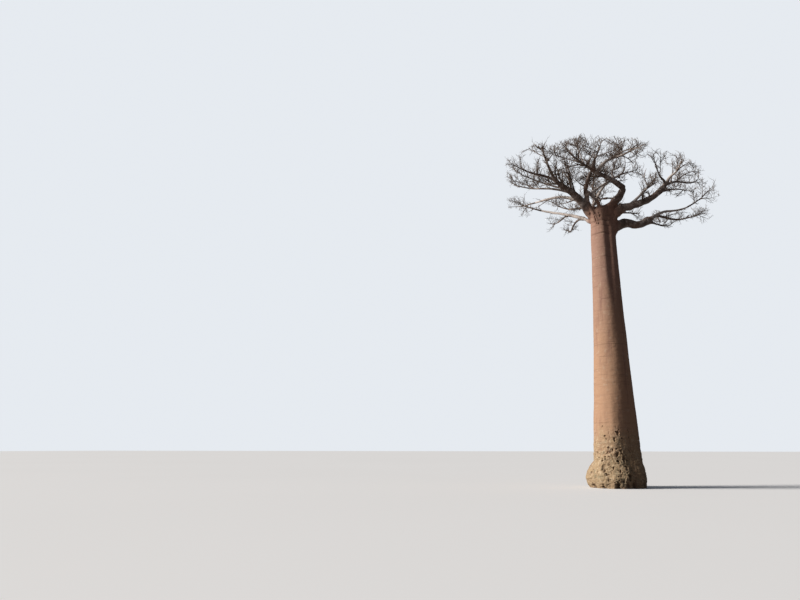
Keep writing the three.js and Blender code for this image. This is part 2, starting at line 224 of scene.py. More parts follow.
# Lumps of the bark: how far they stand out, their size along each axis, and their seed. The ragged ones also
# bend the edges of pits and hollows.
SWELLS = (0.022, (0.9, 0.9, 1.5), 1)
STRANDS = (0.010, (0.3, 0.3, 2.6), 2)
FLAKES = (0.006, (0.22, 0.22, 0.09), 3)
GRIT = (0.0025, (0.07, 0.07, 0.07), 4)
FOOT_BUMPS = (0.036, (0.45, 0.45, 0.2), 5)
KNOBS = (0.03, (0.3, 0.3, 0.42), 14)
WARTS = (0.01, (0.1, 0.1, 0.16), 15)
RAGGED = ((0.11, 0.11, 0.09), 6)
RAGGED_DEPTH = 0.020

# The foot is wrinkled up to where its bark turns smooth. Some sides are rough and cracked: heading, width
FOOT_FADES = (1.4, 4.4)
WRINKLES = ((0.42, 0.42, 0.13), 9, 0.07)
WRINKLE_DEPTH = 0.018
WRINKLE_SHADE = 0.4
ROUGH_SIDES = [(244, 17), (292, 30), (60, 70)]
ROUGH_LEAST = 0.15
CRACKS = ((0.3, 0.3, 0.75), 16, 0.05)
CRACK_DEPTH = 0.02
CRACK_SHADE = 0.55
GROUND_FADES = (-0.3, 0.1)

# Boughs: heading seen from above, level reach and upright climb, then base and tip radius. seat is a point
# inside the trunk; parent and at say which bough it leaves and how far along. arch bows the limb up, sway
# bows it sideways, wave lifts its near half and drops its far half, knuckle thickens its far end, and twigs
# is how far its bare twigs reach past it.
UP = np.array([0.0, 0.0, 1.0])
DIRECTION_STEP = 0.01
BOUGH_TAPER = 1.3
ROOT_SWELL = 0.35
ROOT_FADE = 0.45
KNUCKLE_AT = 0.93
KNUCKLE_SPREAD = 0.09
BOUGH_END = 0.76


@dataclass
class Bough:
    name: str
    heading: float
    reach: float
    climb: float
    base: float
    tip: float
    seat: tuple = None
    parent: str = None
    at: float = 0
    arch: float = 0
    sway: float = 0
    wave: float = 0
    knuckle: float = 0
    twigs: float = 0

    @property
    def side(self):
        turn = math.radians(self.heading)
        return np.array([-math.sin(turn), math.cos(turn), 0])

    @property
    def length(self):
        return math.hypot(self.reach, self.climb)

    @property
    def end(self):
        return BOUGH_END if self.twigs else 1

    def point(self, share):
        share = np.asarray(share, float)[..., None]
        turn = math.radians(self.heading)
        along = np.array([math.cos(turn), math.sin(turn), 0])
        start = np.array(self.seat) if self.seat else BY_NAME[self.parent].point(self.at)
        bow = 4 * share * (1 - share)
        rise = self.climb * share + self.arch * bow + self.wave * np.sin(2 * np.pi * share)
        return start + along * self.reach * share + self.side * self.sway * bow + UP * rise

    def direction(self, share):
        share = np.asarray(share)
        return unit(self.point(share + DIRECTION_STEP) - self.point(share - DIRECTION_STEP))

    def root_swell(self, share):
        return 1 + ROOT_SWELL * np.exp(-share * self.length / ROOT_FADE)

    def radius(self, share):
        thinning = np.maximum(1 - share, 0) ** BOUGH_TAPER
        knuckle = self.knuckle * np.exp(-((share - KNUCKLE_AT) / KNUCKLE_SPREAD) ** 2)
        return (self.tip + (self.base - self.tip) * thinning) * self.root_swell(share) + knuckle


BOUGHS = [
    Bough("low_right", 30, 3.3, 1.1, 0.37, 0.23, seat=(0.8, 0, 16.75), arch=0.1, sway=0.2, wave=0.2,
          knuckle=0.055),
    Bough("right", -15, 4.0, 1.6, 0.36, 0.165, seat=(0.75, 0.05, 17.75), arch=-0.4, sway=-0.2, wave=0.2,
          knuckle=0.025),
    Bough("left", -120, 5.6, 3.2, 0.33, 0.065, seat=(-0.15, 0, 17.7), sway=-0.4, wave=0.4, twigs=0.3),
    Bough("bent", -45, 1.5, 1.3, 0.29, 0.225, seat=(0.85, -0.1, 17.9), arch=0.2, sway=0.1, wave=0.1),
    Bough("bent_over", -130, 5.1, 1.3, 0.215, 0.055, parent="bent", at=0.98, arch=-0.2, sway=0.1, wave=0.1,
          twigs=0.45),
    Bough("front_prop", -85, 2.9, 2.0, 0.17, 0.125, seat=(-0.35, -0.2, 17.9), arch=0.3, sway=-0.3, wave=0.2),
    Bough("low_left", 145, 6.4, 3.3, 0.155, 0.05, seat=(0, 0.2, 17.35), arch=0.1, sway=-0.2, wave=0.1,
          twigs=0.85),
    Bough("centre", 75, 0.8, 3.8, 0.095, 0.045, seat=(-0.1, 0.4, 18.05), sway=0.1, twigs=0.95),
    Bough("pale", 25, 3.2, 3.3, 0.115, 0.05, seat=(-0.35, 0.1, 18.1), arch=0.9, sway=0.2, wave=0.1,
          twigs=0.7),
    Bough("back", 90, 4.0, 3.2, 0.12, 0.045, seat=(0.1, 0.5, 18.0), arch=-0.5, sway=-0.2, twigs=0.8),
    Bough("back_left", 120, 5.2, 2.7, 0.115, 0.045, seat=(-0.2, 0.3, 18.0), arch=0.2, sway=-0.3, wave=0.2,
          twigs=0.65),
    Bough("back_right", 60, 3.7, 1.3, 0.11, 0.05, seat=(0.9, 0.4, 17.7), arch=0.3, sway=0.3, twigs=0.5),
    Bough("left_side", -160, 2.8, 1.2, 0.095, 0.045, parent="left", at=0.6, sway=0.1, wave=0.1, twigs=0.8),
    Bough("left_middle", 180, 3.0, 1.5, 0.08, 0.04, parent="left", at=0.44, sway=-0.3, twigs=0.9),
    Bough("left_outer", 165, 4.0, 1.5, 0.09, 0.04, parent="left", at=0.33, sway=0.2, wave=0.1, twigs=0.85),
    Bough("left_upright", -105, 1.4, 1.7, 0.08, 0.04, parent="left", at=0.27, arch=-0.2, twigs=0.9),
    Bough("left_back", 140, 5.6, 1.5, 0.13, 0.05, parent="left", at=0.2, arch=0.4, wave=0.1, twigs=0.85),
    Bough("low_left_fork", 120, 3.2, 0.5, 0.075, 0.04, parent="low_left", at=0.32, arch=0.1, wave=0.1,
          twigs=0.5),
    Bough("low_left_hook", 110, 3.7, 0.4, 0.085, 0.045, parent="low_left", at=0.17, arch=-0.1, sway=0.2,
          wave=0.2, twigs=0.5),
    Bough("front", -80, 2.3, 0.4, 0.1, 0.05, parent="bent_over", at=0.58, arch=0.1, sway=-0.1, wave=0.1,
          twigs=0.75),
    Bough("front_right", -25, 2.5, 0.7, 0.115, 0.05, parent="bent_over", at=0.54, arch=0.3, sway=0.1,
          wave=0.1, twigs=0.8),
    Bough("front_right_side", -50, 2.2, -0.3, 0.065, 0.035, parent="front_right", at=0.4, arch=0.1,
          sway=-0.1, twigs=0.8),
    Bough("bent_upright", 70, 0.3, 1.4, 0.075, 0.04, parent="bent_over", at=0.18, sway=0.2, twigs=0.8),
    Bough("right_front", -110, 2.2, 0.8, 0.09, 0.04, parent="right", at=0.97, arch=-0.3, wave=0.1, twigs=0.6),
    Bough("right_upright", -30, 1.0, 1.0, 0.095, 0.05, parent="right", at=0.98, arch=-0.1, sway=-0.1,
          wave=0.1, twigs=0.65),
    Bough("right_outer", 40, 2.7, 0.7, 0.08, 0.04, parent="right", at=0.95, sway=-0.2, wave=0.1, twigs=0.85),
    Bough("right_back", 55, 3.5, 1.0, 0.075, 0.04, parent="right", at=0.84, arch=0.1, sway=-0.2, twigs=0.7),
    Bough("right_inner", 50, 3.0, 2.7, 0.125, 0.045, parent="right", at=0.38, sway=-0.1, twigs=0.7),
    Bough("low_right_outer", 25, 4.0, 1.8, 0.12, 0.05, parent="low_right", at=0.97, sway=0.5, wave=0.2,
          twigs=1.2),
    Bough("low_right_middle", 40, 4.3, 0.9, 0.13, 0.05, parent="low_right", at=0.95, arch=0.2, sway=0.6,
          wave=0.2, twigs=1.05),
    Bough("low_right_back", 60, 2.9, 0.4, 0.07, 0.04, parent="low_right", at=0.88, sway=0.1, twigs=0.6),
]
BY_NAME = {bough.name: bough for bough in BOUGHS}

# Small limbs of the scene alone, which fill the inside of the crown
SMALL_LIMBS = [
    Bough("left_rise", 70, 0.3, 2.9, 0.055, 0.025, parent="left", at=0.35, arch=0.1, sway=0.2),
    Bough("prop_side", 150, 1.2, 1.5, 0.05, 0.025, parent="front_prop", at=0.6, arch=-0.2),
    Bough("pale_root", 45, 2.1, 1.5, 0.105, 0.075, parent="front_prop", at=0.3),
    Bough("bridge", 145, 1.9, 0.3, 0.095, 0.06, parent="bent", at=0.45, arch=0.2),
    Bough("over_low", 175, 1.5, -0.1, 0.045, 0.025, parent="bent_over", at=0.75, arch=0.1),
    Bough("centre_left", 155, 0.7, 1.4, 0.045, 0.025, parent="centre", at=0.9, arch=0.1, sway=-0.1),
    Bough("over_upright", 100, 0.1, 1.2, 0.045, 0.025, parent="bent_over", at=0.85, arch=0.1, sway=-0.1),
    Bough("pale_upright", 50, 0.4, 1.5, 0.05, 0.025, parent="pale", at=0.8, arch=-0.1, sway=-0.2),
    Bough("right_low", 10, 1.1, 0.7, 0.05, 0.025, parent="right_inner", at=0.55),
    Bough("front_upright", 165, 0.4, 1.0, 0.045, 0.025, parent="front_right", at=0.7),
    Bough("upright_right", 15, 0.8, 1.0, 0.045, 0.025, parent="left", at=0.9),
    Bough("upright_left", 175, 0.8, 0.7, 0.04, 0.025, parent="left", at=0.95, arch=-0.1),
    Bough("over_side", 165, 1.8, 1.0, 0.045, 0.025, parent="bent_over", at=0.8),
    Bough("over_inner", 140, 0.5, 1.5, 0.045, 0.025, parent="bent_over", at=0.75, arch=0.1),
    Bough("front_under", 20, 1.0, -0.6, 0.045, 0.025, parent="front_right", at=0.6, arch=0.2),
    Bough("right_v", 45, 0.4, 1.5, 0.045, 0.025, parent="right_outer", at=0.15, arch=0.1, sway=-0.1),
    Bough("low_right_spur", 10, 1.3, -0.5, 0.045, 0.025, parent="low_right", at=0.95, arch=-0.2),
    Bough("pale_side", 10, 1.2, 0, 0.045, 0.025, parent="pale", at=0.55, arch=-0.1),
    Bough("over_crest", -10, 0.7, 1.3, 0.05, 0.025, parent="bent_over", at=0.7),
    Bough("over_crest_left", 165, 0.7, 1.0, 0.04, 0.025, parent="bent_over", at=0.9, arch=0.1),
    Bough("front_crest", 10, 0.7, 0.5, 0.045, 0.025, parent="front_right", at=0.9, arch=0.1),
    Bough("front_crest_mid", 10, 0.7, 1.1, 0.045, 0.025, parent="front_right", at=0.35),
    Bough("right_spread", 15, 1.1, 0.7, 0.05, 0.025, parent="right_upright", at=0.7, arch=0.1),
    Bough("right_spread_low", 5, 1.3, 0.6, 0.05, 0.025, parent="right_outer", at=0.3, arch=0.2),
    Bough("left_far", 175, 1.7, 0.9, 0.045, 0.025, parent="left_outer", at=0.65, arch=0.1),
    Bough("left_drop", 170, 1.4, -0.2, 0.05, 0.025, parent="left", at=0.25, arch=-0.1),
    Bough("left_back_drop", 175, 0.9, -0.5, 0.04, 0.025, parent="left_back", at=0.5),
    Bough("low_right_rise", 5, 1.0, 0.3, 0.04, 0.025, parent="low_right_middle", at=0.45),
    Bough("right_inner_rise", 85, 0.1, 1.4, 0.045, 0.025, parent="right_inner", at=0.7, sway=0.2),
]
LIMBS = BOUGHS + SMALL_LIMBS

# Skin of the boughs: the size of its voxels, and where it is parted into pieces
VOXEL = 0.025
LEFT_CUT = -1.1
RIGHT_CUT = 1.9
BACK_CUT = 0.3
CUT_SNAP = 1e-5

# Tubes under the skin: their sides and rings, how crooked and lumpy they are, how they close, which of them
# don't swell at their root, and a way that none of them runs in, from which their sides are found
LIMB_SIDES = 16
LIMB_RING = 0.09
FEWEST_RINGS = 6
FLARE_RINGS = 14
LIMB_SEED = 40
CROOKED = 0.3
CROOKS = 0.7
CROOK_SEEDS = (0, 100, 200)
CROOKED_FROM = (0.2, 0.8)
LUMPY = 0.12
LIMB_LUMPS = 0.35
ROUND_FROM = 0.88
ROUNDEST = 0.95
SLIM_ROOTS = ("bent", "bent_over", "left")
OFF_UPRIGHT = UP + np.array([0.01, 0.02, 0])

# Flares run up from the trunk into boughs of more than this radius. Their drop and depth are in radii of the
# bough, sunk and tuck in their own depth, leaves in radii of the trunk, below and reach in metres, and the
# rest are shares.
FLARED = 0.16
FLARE_DROP = 3.3
FLARE_BELOW = 0.2
FLARE_DEPTH = 0.68
FLARE_SAMPLE = 0.25
FLARE_SUNK = 1.15
FLARE_TUCK = 0.6
FLARE_LEAVES = 1.25
FLARE_REACH = 0.7
FLARE_THINNING = 0.9

# Saddles close the fork between two boughs: the two, and the saddle's radius. It starts and ends so many
# metres along them, and dips in between.
SADDLE_AT = 0.55
SADDLE_DIP = 0.3
SADDLES = [
    ("left", "front_prop", 0.17), ("left", "bent", 0.2), ("bent", "right", 0.17),
    ("right", "back_right", 0.28), ("low_right", "back_right", 0.2), ("back_right", "back", 0.18),
    ("back", "back_left", 0.18), ("back_left", "left", 0.2), ("low_right", "right", 0.17),
]

# Rounds of smoothing for skin over limbs of more than each radius, and how far apart the limbs are sampled.
# Skin near the fork counts as thick.
SMOOTHING = [(0, 2), (0.09, 3), (0.16, 7), (0.4, 14)]
SAMPLE_STEP = 0.05
FORK_MIDDLE = np.array([0.35, 0, 18.0])
FORK_REACH = 1.7
FORK_THICKNESS = 0.9

# How far beyond the trunk's rim, and between which heights, its bark gives way to that of the boughs. Above
# its top the rim keeps its radius, and skin that is wholly the trunk's takes the trunk's relief.
TRUNK_RIM_TOP = 17.9
TRUNK_BLENDS = (0.02, 0.55)
TRUNK_FADES = (18.45, 18.9)
WHOLLY_TRUNK = 0.97

# Relief of the boughs: wrinkles across them, with shade painted in their troughs, lumps by their thickness,
# and a fine grain
WRINKLE_SPACING = 0.11
WRINKLE_BY_GIRTH = 9
WRINKLE_BY_HEIGHT = 0.8
WRINKLE_SEED = 61
LIMB_WRINKLE = 0.03
WRINKLED_GIRTH = 0.3
WRINKLE_DARKNESS = 1.4
WRINKLE_CLEAR = 0.35
LIMB_SHADE = 0.5
LIMB_SWELLS = (0.32, 62)
LIMB_SWELL = 0.10
LIMB_SWELL_MOST = 0.022
LIMB_GRAIN = (0.004, 0.08, 63)

# Limbs with pale bark, how many samples near a point decide on it, and patches of rust: x, y, z and reach
PALE_LIMBS = ("pale_root", "pale", "left_back", "low_left", "front_right", "low_right_outer", "right_upright",
              "right_inner")
PALE_NEIGHBOURS = 14
RUST_PATCHES = [
    (-1.7, -1.2, 19.2, 0.4), (1.4, -0.6, 18.9, 0.3), (3.6, 1.3, 17.9, 0.3), (0.1, -0.7, 18.4, 0.3),
]

# Twigs: a stem carries on along its bough, shoots leave it, and shorter shoots leave those. every is the
# spacing, share the length as a share of the parent's, spread the angle from it, and girth the radius as a
# share of its own.
STEM_TIP = 0.012
STEM_SIDES = 8
SHOOT_FIRST = 0.16
SHOOT_LONGEST = 1.35
SHOOT_SHORTENING = 0.85
LIFT = 0.3
STEM_LIFT = 0.12
WANDER = 0.16
GOLDEN_ANGLE = 137.5
AZIMUTH_JITTER = 50
SPACING_START = 0.2
SPACING_JITTER = 0.6
SPACE_MARGIN = 0.04
LIMB_MARGIN = 0.03
LIMB_SAMPLE = 0.25
MIDDLE_PAST_TIP = 0.1
NEAR_TIP = 0.98
STEM_GIRTH = 0.97
SEAT_GAP = 0.0004
FIT_SAMPLES = (0.35, 0.6, 0.8, 1)
COURSE_END = 0.9999
SEEDS_APART = 31


@dataclass
class Rule:
    every: float
    spread: float
    steps: int
    girth: float
    sides: int
    share: float = 0
    reach: float = 0
    first: float = SHOOT_FIRST
    tip: float = STEM_TIP
    lift: float = LIFT
    wander: float = WANDER
    salt: int = 0


# Shoots and side shoots are those of the solids. The rest is finer, and has a reach in metres and no share.
SHOOT = Rule(every=0.4, share=0.52, spread=50, steps=2, girth=0.6, sides=5)
SIDE_SHOOT = Rule(every=0.4, share=0.6, spread=44, steps=1, girth=0.7, sides=4)
BRANCH = Rule(every=0.4, reach=1.5, spread=48, steps=7, girth=0.45, sides=7, first=0.42, lift=0.3, tip=0.017,
              wander=0.3, salt=411)
LIMB_SHOOT = Rule(every=0.22, reach=0.75, spread=56, steps=5, girth=0.28, sides=6, first=0.4, lift=0.3,
                  tip=0.013, wander=0.28, salt=901)
BRANCHLET = Rule(every=0.22, reach=0.66, spread=50, steps=4, girth=0.6, sides=5, first=0.15, lift=0.25,
                 tip=0.012, wander=0.26, salt=57)
TWIG = Rule(every=0.155, reach=0.4, spread=48, steps=3, girth=0.62, sides=4, first=0.15, lift=0.35,
            tip=0.0095, wander=0.24, salt=77)
FINE_TWIG = Rule(every=0.095, reach=0.2, spread=46, steps=2, girth=0.7, sides=3, first=0.2, lift=0.3,
                 tip=0.007, wander=0.22, salt=13)

# How long the finer ones are near their parent's root and its tip, in reaches, and the shortest by chance
NEAR_LENGTH = 1.25
FAR_LENGTH = 0.75
SHORTEST = 0.6

# Boughs as parents of twigs: their points, seeds and turns, which of them carry few twigs or none of their
# own, and which small limbs have branches
BOUGH_POINTS = 13
BOUGH_SEED = 101
BOUGH_TURN = 90.0
SPARSE = ("left_back", "low_left", "low_left_fork", "low_left_hook", "low_right_outer", "low_right_middle",
          "back_right", "front_right_side")
BARE_LIMBS = ("low_right", "right", "front_prop")
BRANCHED = ("over_crest", "over_crest_left", "over_upright", "front_crest", "front_upright", "pale_upright",
            "centre_left", "upright_right", "upright_left", "right_spread", "right_inner_rise", "left_drop",
            "over_side", "over_inner", "front_under", "right_v", "right_spread_low", "low_right_spur")
SPARSE_FIRST = 0.42

# How far a bough's shoot may droop, how clear it stays of limbs, and how clear twigs stay of limbs and box
DROOP = 0.02
HALFWAY_MARGIN = 0.02
END_MARGIN = 0.05
TWIG_MARGIN = 0.01
BOX_MARGIN = 0.01

# Slim tubes of twigs: a way that none of them runs in, their tints by mass and seed, and how many triangles
# share a piece
NEARLY_UPRIGHT = UP + np.array([0.013, 0.007, 0])
TINT_BY_MASS = 7
TINT_SHIFT = 3
PIECE_TRIANGLES = 190000

# The crown's outline in the photograph, in its pixels. Twigs finer than those of the solids keep inside it.
# Each of them stretches it a little in or out, so that the rim is ragged.
CROWN_OUTLINE = [
    (502, 176), (506, 158), (516, 151), (528, 145), (538, 141), (551, 144), (567, 138), (583, 133),
    (597, 135), (617, 135), (632, 136), (650, 142), (658, 149), (677, 150), (690, 156), (702, 163),
    (708, 178), (722, 187), (722, 193), (712, 203), (714, 213), (704, 226), (680, 231), (655, 226),
    (630, 219), (602, 225), (590, 238), (574, 240), (543, 231), (518, 217), (505, 211), (501, 200),
    (507, 194), (501, 188),
]
CROWN_MIDDLE = (608, 186)
RAGGED_RIM = 0.035

# Sky inside the crown, in pixels: middle, half width and half height. The same twigs keep out of each.
SKY_GAPS = [
    (537, 194, 20, 4), (632, 187, 7, 12), (665, 204, 23, 6), (606.5, 200.5, 4.5, 3.5), (649, 166, 5, 8),
    (668, 172, 5, 6), (556, 210, 12, 3),
]
PHOTO_MIDDLE = (400, 300)
PHOTO_WIDTH = 800

# How far smooth noise is shifted for each seed, and the least that anything is divided by
SEED_SHIFT = 7.31
TINY = 1e-9


def unit(vectors):
    return vectors / np.maximum(np.linalg.norm(vectors, axis=-1, keepdims=True), TINY)


def ease(value, start, full):
    share = np.clip((value - start) / (full - start), 0, 1)
    return share * share * (3 - 2 * share)


# How far an angle lies round from a heading, from -180 to 180
def turned(angle, heading):
    return (angle - heading + 540) % 360 - 180


# How strongly a lobe or groove of a given width shows at an angle
def hump(angle, heading, width):
    return np.exp(-(turned(angle, heading) / width) ** 2)


def trunk_radius(angle, height):
    slenderness = np.maximum(1 - height / TRUNK_TOP, 0) ** TAPER_POWER
    radius = CROWN_RADIUS + FOOT_EXTRA * slenderness
    for heading, swell, top, width in FOOT_LOBES:
        share = LOBE_TUCK + (1 - LOBE_TUCK) * height / top
        profile = np.where(height > top, 0, np.sin(np.pi * np.minimum(share, 1)))
        radius = radius + swell * profile * hump(angle, heading, width)
    squeeze = SQUEEZE * ease(height, SQUEEZE_START, SQUEEZE_FULL)
    radius = radius * (1 - squeeze * np.sin(np.radians(angle)) ** 2)
    for heading, depth, width, start, full in GROOVES:
        radius = radius - depth * ease(height, start, full) * hump(angle, heading, width)
    radius = radius + COLLAR_SWELL * ease(height, COLLAR_START, COLLAR_FULL)
    dome_share = np.maximum(height - DOME_START, 0) / DOME_HEIGHT
    return radius * np.sqrt(np.maximum(1 - dome_share ** 2, 0))


# Smooth noise from -1 to 1. size is how far apart its lumps lie, along each axis.
def lumps(points, size, seed):
    places = points / np.asarray(size) + seed * SEED_SHIFT
    return np.array([noise.noise(place) for place in places.tolist()])


def trunk_point(angle, height, radius):
    turn = np.radians(angle)
    centre = FOOT_CENTRE_X + LEAN * height
    return np.stack([centre + radius * np.cos(turn), radius * np.sin(turn), height], axis=-1)


# Heights, depths, seeds and widths of the creases and folds that run round the trunk
def ring_lines():
    draw = np.random.default_rng(RING_SEED)
    height, rings = FIRST_RING, []
    while height < COLUMN_TOP:
        rings.append((height, draw.uniform(*RING_DEPTHS) * RING_DEEPEST, len(rings)))
        if draw.random() < PAIR_CHANCE:
            rings.append((height + draw.uniform(*PAIR_GAPS), PAIR_DEPTH * RING_DEEPEST, len(rings)))
        height += draw.uniform(*RING_GAPS) * (1 + height / RING_SPREADING)
    return [(*ring, RING_WIDTH) for ring in rings] + [(*fold, FOLD_WIDTH) for fold in FORK_FOLDS]


# Pits: those of the front, and smaller ones that cluster all round; each with how much wider than high it is
def pit_list():
    draw = np.random.default_rng(PIT_SEED)
    pits = [(*pit, draw.uniform(*FRONT_PIT_WIDTHS)) for pit in FRONT_PITS]
    for _ in range(MORE_PITS):
        height = PIT_LOWEST + (PIT_HIGHEST - PIT_LOWEST) * draw.random() ** PIT_SINKING
        heading = draw.choice(PIT_CLUSTERS) + draw.normal(0, PIT_SCATTER)
        size = draw.uniform(*PIT_RADII) * (1 - PIT_SHRINKING * height / PIT_HIGHEST)
        pits.append((heading, height, size, size * draw.uniform(*PIT_DEPTHS), draw.uniform(*PIT_WIDTHS)))
    return pits


# How much of its depth the flat side has at an angle
def flat_share(angle):
    share = ((angle - FLAT_FROM) % 360) / FLAT_RUN
    return np.where(share < 1, np.sin(np.pi * np.minimum(share, 1)) ** FLAT_HOLLOWNESS, 0)


# How far some kinds of lumps stand out together
def lumps_of(points, *kinds):
    return sum(depth * lumps(points, size, seed) for depth, size, seed in kinds)


# Thin wandering lines, where smooth noise passes through nought
def veins(points, size, seed, width):
    return np.exp(-(lumps(points, size, seed) / width) ** 2)


# Each of the next three sinks its marks into the relief, out, and paints shade into the creases there
def sink_rings(out, crease, points, height):
    waver = RING_WAVER * lumps(points, *RING_WAVES)
    for ring, depth, seed, width in RINGS:
        near = np.abs(height - ring) < RING_REACH
        if not near.any():
            continue
        patches = lumps(points[near], RING_PATCHES, PATCH_SEED + seed)
        strength = np.clip(PATCH_STRENGTH + PATCHINESS * patches, 0, 1)
        line = strength * np.exp(-((height[near] - ring - waver[near]) / width) ** 2)
        out[near] -= depth * line
        crease[near] = np.maximum(crease[near], line * min(RING_SHADE * depth / RING_DEEPEST, RING_SHADE))


def sink_pits(out, crease, angle, height, radius, ragged):
    for heading, pit_height, size, depth, width in PITS:
        around = np.radians(turned(angle, heading)) * radius
        near = (np.abs(around) < PIT_REACH * size) & (np.abs(height - pit_height) < PIT_REACH * size)
        distance = np.hypot(around[near] / width, width * (height[near] - pit_height)) / size
        distance = distance * (1 + PIT_RAGGEDNESS * ragged[near])
        hole = np.exp(-np.abs(distance) ** PIT_STEEPNESS)
        out[near] += -depth * hole + RIM_HEIGHT * depth * np.exp(-((distance - RIM_AT) / RIM_WIDTH) ** 2)
        crease[near] = np.maximum(crease[near], hole)


def sink_cavities(out, crease, points, angle, height, ragged):
    bend = CAVITY_RAGGEDNESS * ragged + CAVITY_BEND * lumps(points, *CAVITY_BENDS)
    level = height * (1 + CAVITY_TOP_RAGGEDNESS * ragged)
    for heading, top, width, depth in CAVITIES:
        hollow = hump(angle, heading + bend, width) * (1 - ease(level, CAVITY_CLOSES_FROM * top, top))
        out -= depth * hollow
        np.maximum(crease, hollow, out=crease)


# The relief of the trunk's bark: how far it stands out, and how much shade is painted where each point lies
# deep in a crease, pit or hollow, from 0 to 1
def trunk_relief(angle, height):
    radius = trunk_radius(angle, height)
    points = trunk_point(angle, height, radius)
    low = 1 - ease(height, *FOOT_FADES)
    rough = low * np.clip(ROUGH_LEAST + sum(hump(angle, *side) for side in ROUGH_SIDES), 0, 1)
    ragged = lumps(points, *RAGGED)
    wrinkle = low * veins(points, *WRINKLES)
    crack = rough * veins(points, *CRACKS)
    out = lumps_of(points, SWELLS, STRANDS, FLAKES, GRIT)
    out += low * (lumps_of(points, FOOT_BUMPS) + RAGGED_DEPTH * ragged)
    out += rough * lumps_of(points, KNOBS, WARTS) - WRINKLE_DEPTH * wrinkle - CRACK_DEPTH * crack
    out -= FLAT_DEPTH * (1 - ease(height, *FLAT_FADES)) * flat_share(angle)
    crease = np.maximum(WRINKLE_SHADE * wrinkle, CRACK_SHADE * crack)
    sink_rings(out, crease, points, height)
    sink_pits(out, crease, angle, height, radius, ragged)
    sink_cavities(out, crease, points, angle, height, ragged)
    return out * ease(height, *GROUND_FADES), crease


RINGS = ring_lines()
PITS = pit_list()


# A capped tube: its corners are put in place by the share of its length and the angle round it that each has
def ringed_tube(sides, rings, place):
    tube = bmesh.new()
    bmesh.ops.create_cone(tube, cap_ends=True, segments=sides, radius1=1, radius2=1, depth=1)
    upright = [e for e in tube.edges if abs(e.verts[0].co.z - e.verts[1].co.z) > 0.5]
    bmesh.ops.subdivide_edges(tube, edges=upright, cuts=rings - 1, use_grid_fill=True)
    corners = np.array([v.co[:] for v in tube.verts])
    placed = place(corners[:, 2] + 0.5, np.degrees(np.arctan2(corners[:, 1], corners[:, 0])))
    for corner, point in zip(tube.verts, placed.tolist()):
        corner.co = point
    for cap in [face for face in tube.faces if len(face.verts) == sides]:
        for edge in cap.edges:
            edge.smooth = False
    bmesh.ops.recalc_face_normals(tube, faces=tube.faces)
    return tube


def finished(name, mesh, materials, smooth=True):
    piece = bpy.data.objects.new(name, mesh)
    for material in materials:
        mesh.materials.append(material)
    if smooth:
        mesh.shade_smooth()
    scene.collection.objects.link(piece)
    return piece


def set_mask(mesh, name, values):
    mask = mesh.attributes.new(name, "FLOAT", "POINT")
    mask.data.foreach_set("value", np.asarray(values, np.float32))


def trunk_piece(name, bottom, top, sides, rings, crowding):
    crease_shades = {}

    def place(share, angle):
        height = bottom + (top - bottom) * share ** crowding
        relief, crease = trunk_relief(angle, height)
        crease_shades["mask"] = crease
        return trunk_point(angle, height, trunk_radius(angle, height) + relief)

    tube = ringed_tube(sides, rings, place)
    mesh = bpy.data.meshes.new(name)
    tube.to_mesh(mesh)
    tube.free()
    # The mask of shade painted into the trunk's creases, pits and hollows
    set_mask(mesh, "crease", crease_shades["mask"])
    set_mask(mesh, "trunk_share", np.ones(len(mesh.vertices)))
    set_mask(mesh, "paleness", np.zeros(len(mesh.vertices)))
    return finished(name, mesh, [bark])


# The top of the trunk without its thin creases, for the skin that joins it to the boughs
def trunk_top_tube():
    def place(share, angle):
        height = COLUMN_TOP - TOP_OVERLAP + (TRUNK_TOP - COLUMN_TOP + TOP_OVERLAP) * share
        return trunk_point(angle, height, trunk_radius(angle, height))

    return ringed_tube(*TOP_MESH, place)


# How much of its radius a tube keeps where it rounds off, by how far it has rounded
def rounded(share):
    return np.sqrt(1 - np.clip(share, 0, ROUNDEST) ** 2)


# A limb is a little crooked and lumpy, by less than its own radius
def bough_tube(bough):
    rings = max(FEWEST_RINGS, round(bough.length * bough.end / LIMB_RING))
    seed = LIMB_SEED + LIMBS.index(bough)

    def place(share, angle):
        share = share * bough.end
        centre = bough.point(share)
        direction = bough.direction(share)
        over = unit(np.cross(bough.side, direction))
        level = np.cross(direction, over)
        radius = bough.radius(share)
        if bough.end == 1:
            radius = radius * rounded((share - ROUND_FROM) / (1 - ROUND_FROM))
        if bough.name in SLIM_ROOTS:
            radius = radius / bough.root_swell(share)
        if bough.parent:
            radius = radius * rounded(1 - share * bough.length / bough.base)
        bend = np.stack([lumps(centre, CROOKS, seed + shift) for shift in CROOK_SEEDS], axis=-1)
        settle = ease(share * bough.length, *CROOKED_FROM)[:, None]
        centre = centre + CROOKED * settle * radius[:, None] * bend
        turn = np.radians(angle)
        out = level * np.cos(turn)[:, None] + over * np.sin(turn)[:, None]
        swell = 1 + LUMPY * lumps(centre + out * radius[:, None], LIMB_LUMPS, seed)
        return centre + out * (radius * swell)[:, None]

    return ringed_tube(LIMB_SIDES, rings, place)


# A tube along a bow from start over middle to end, whose radius changes evenly
def bowed_tube(start, middle, end, first_radius, last_radius):
    def place(share, angle):
        t = share[:, None]
        centre = (1 - t) ** 2 * start + 2 * t * (1 - t) * middle + t ** 2 * end
        direction = unit(2 * (1 - t) * (middle - start) + 2 * t * (end - middle))
        across = unit(np.cross(direction, OFF_UPRIGHT))
        over = np.cross(across, direction)
        turn = np.radians(angle)[:, None]
        radius = first_radius + (last_radius - first_radius) * t
        return centre + radius * (across * np.cos(turn) + over * np.sin(turn))

    return ringed_tube(LIMB_SIDES, FLARE_RINGS, place)


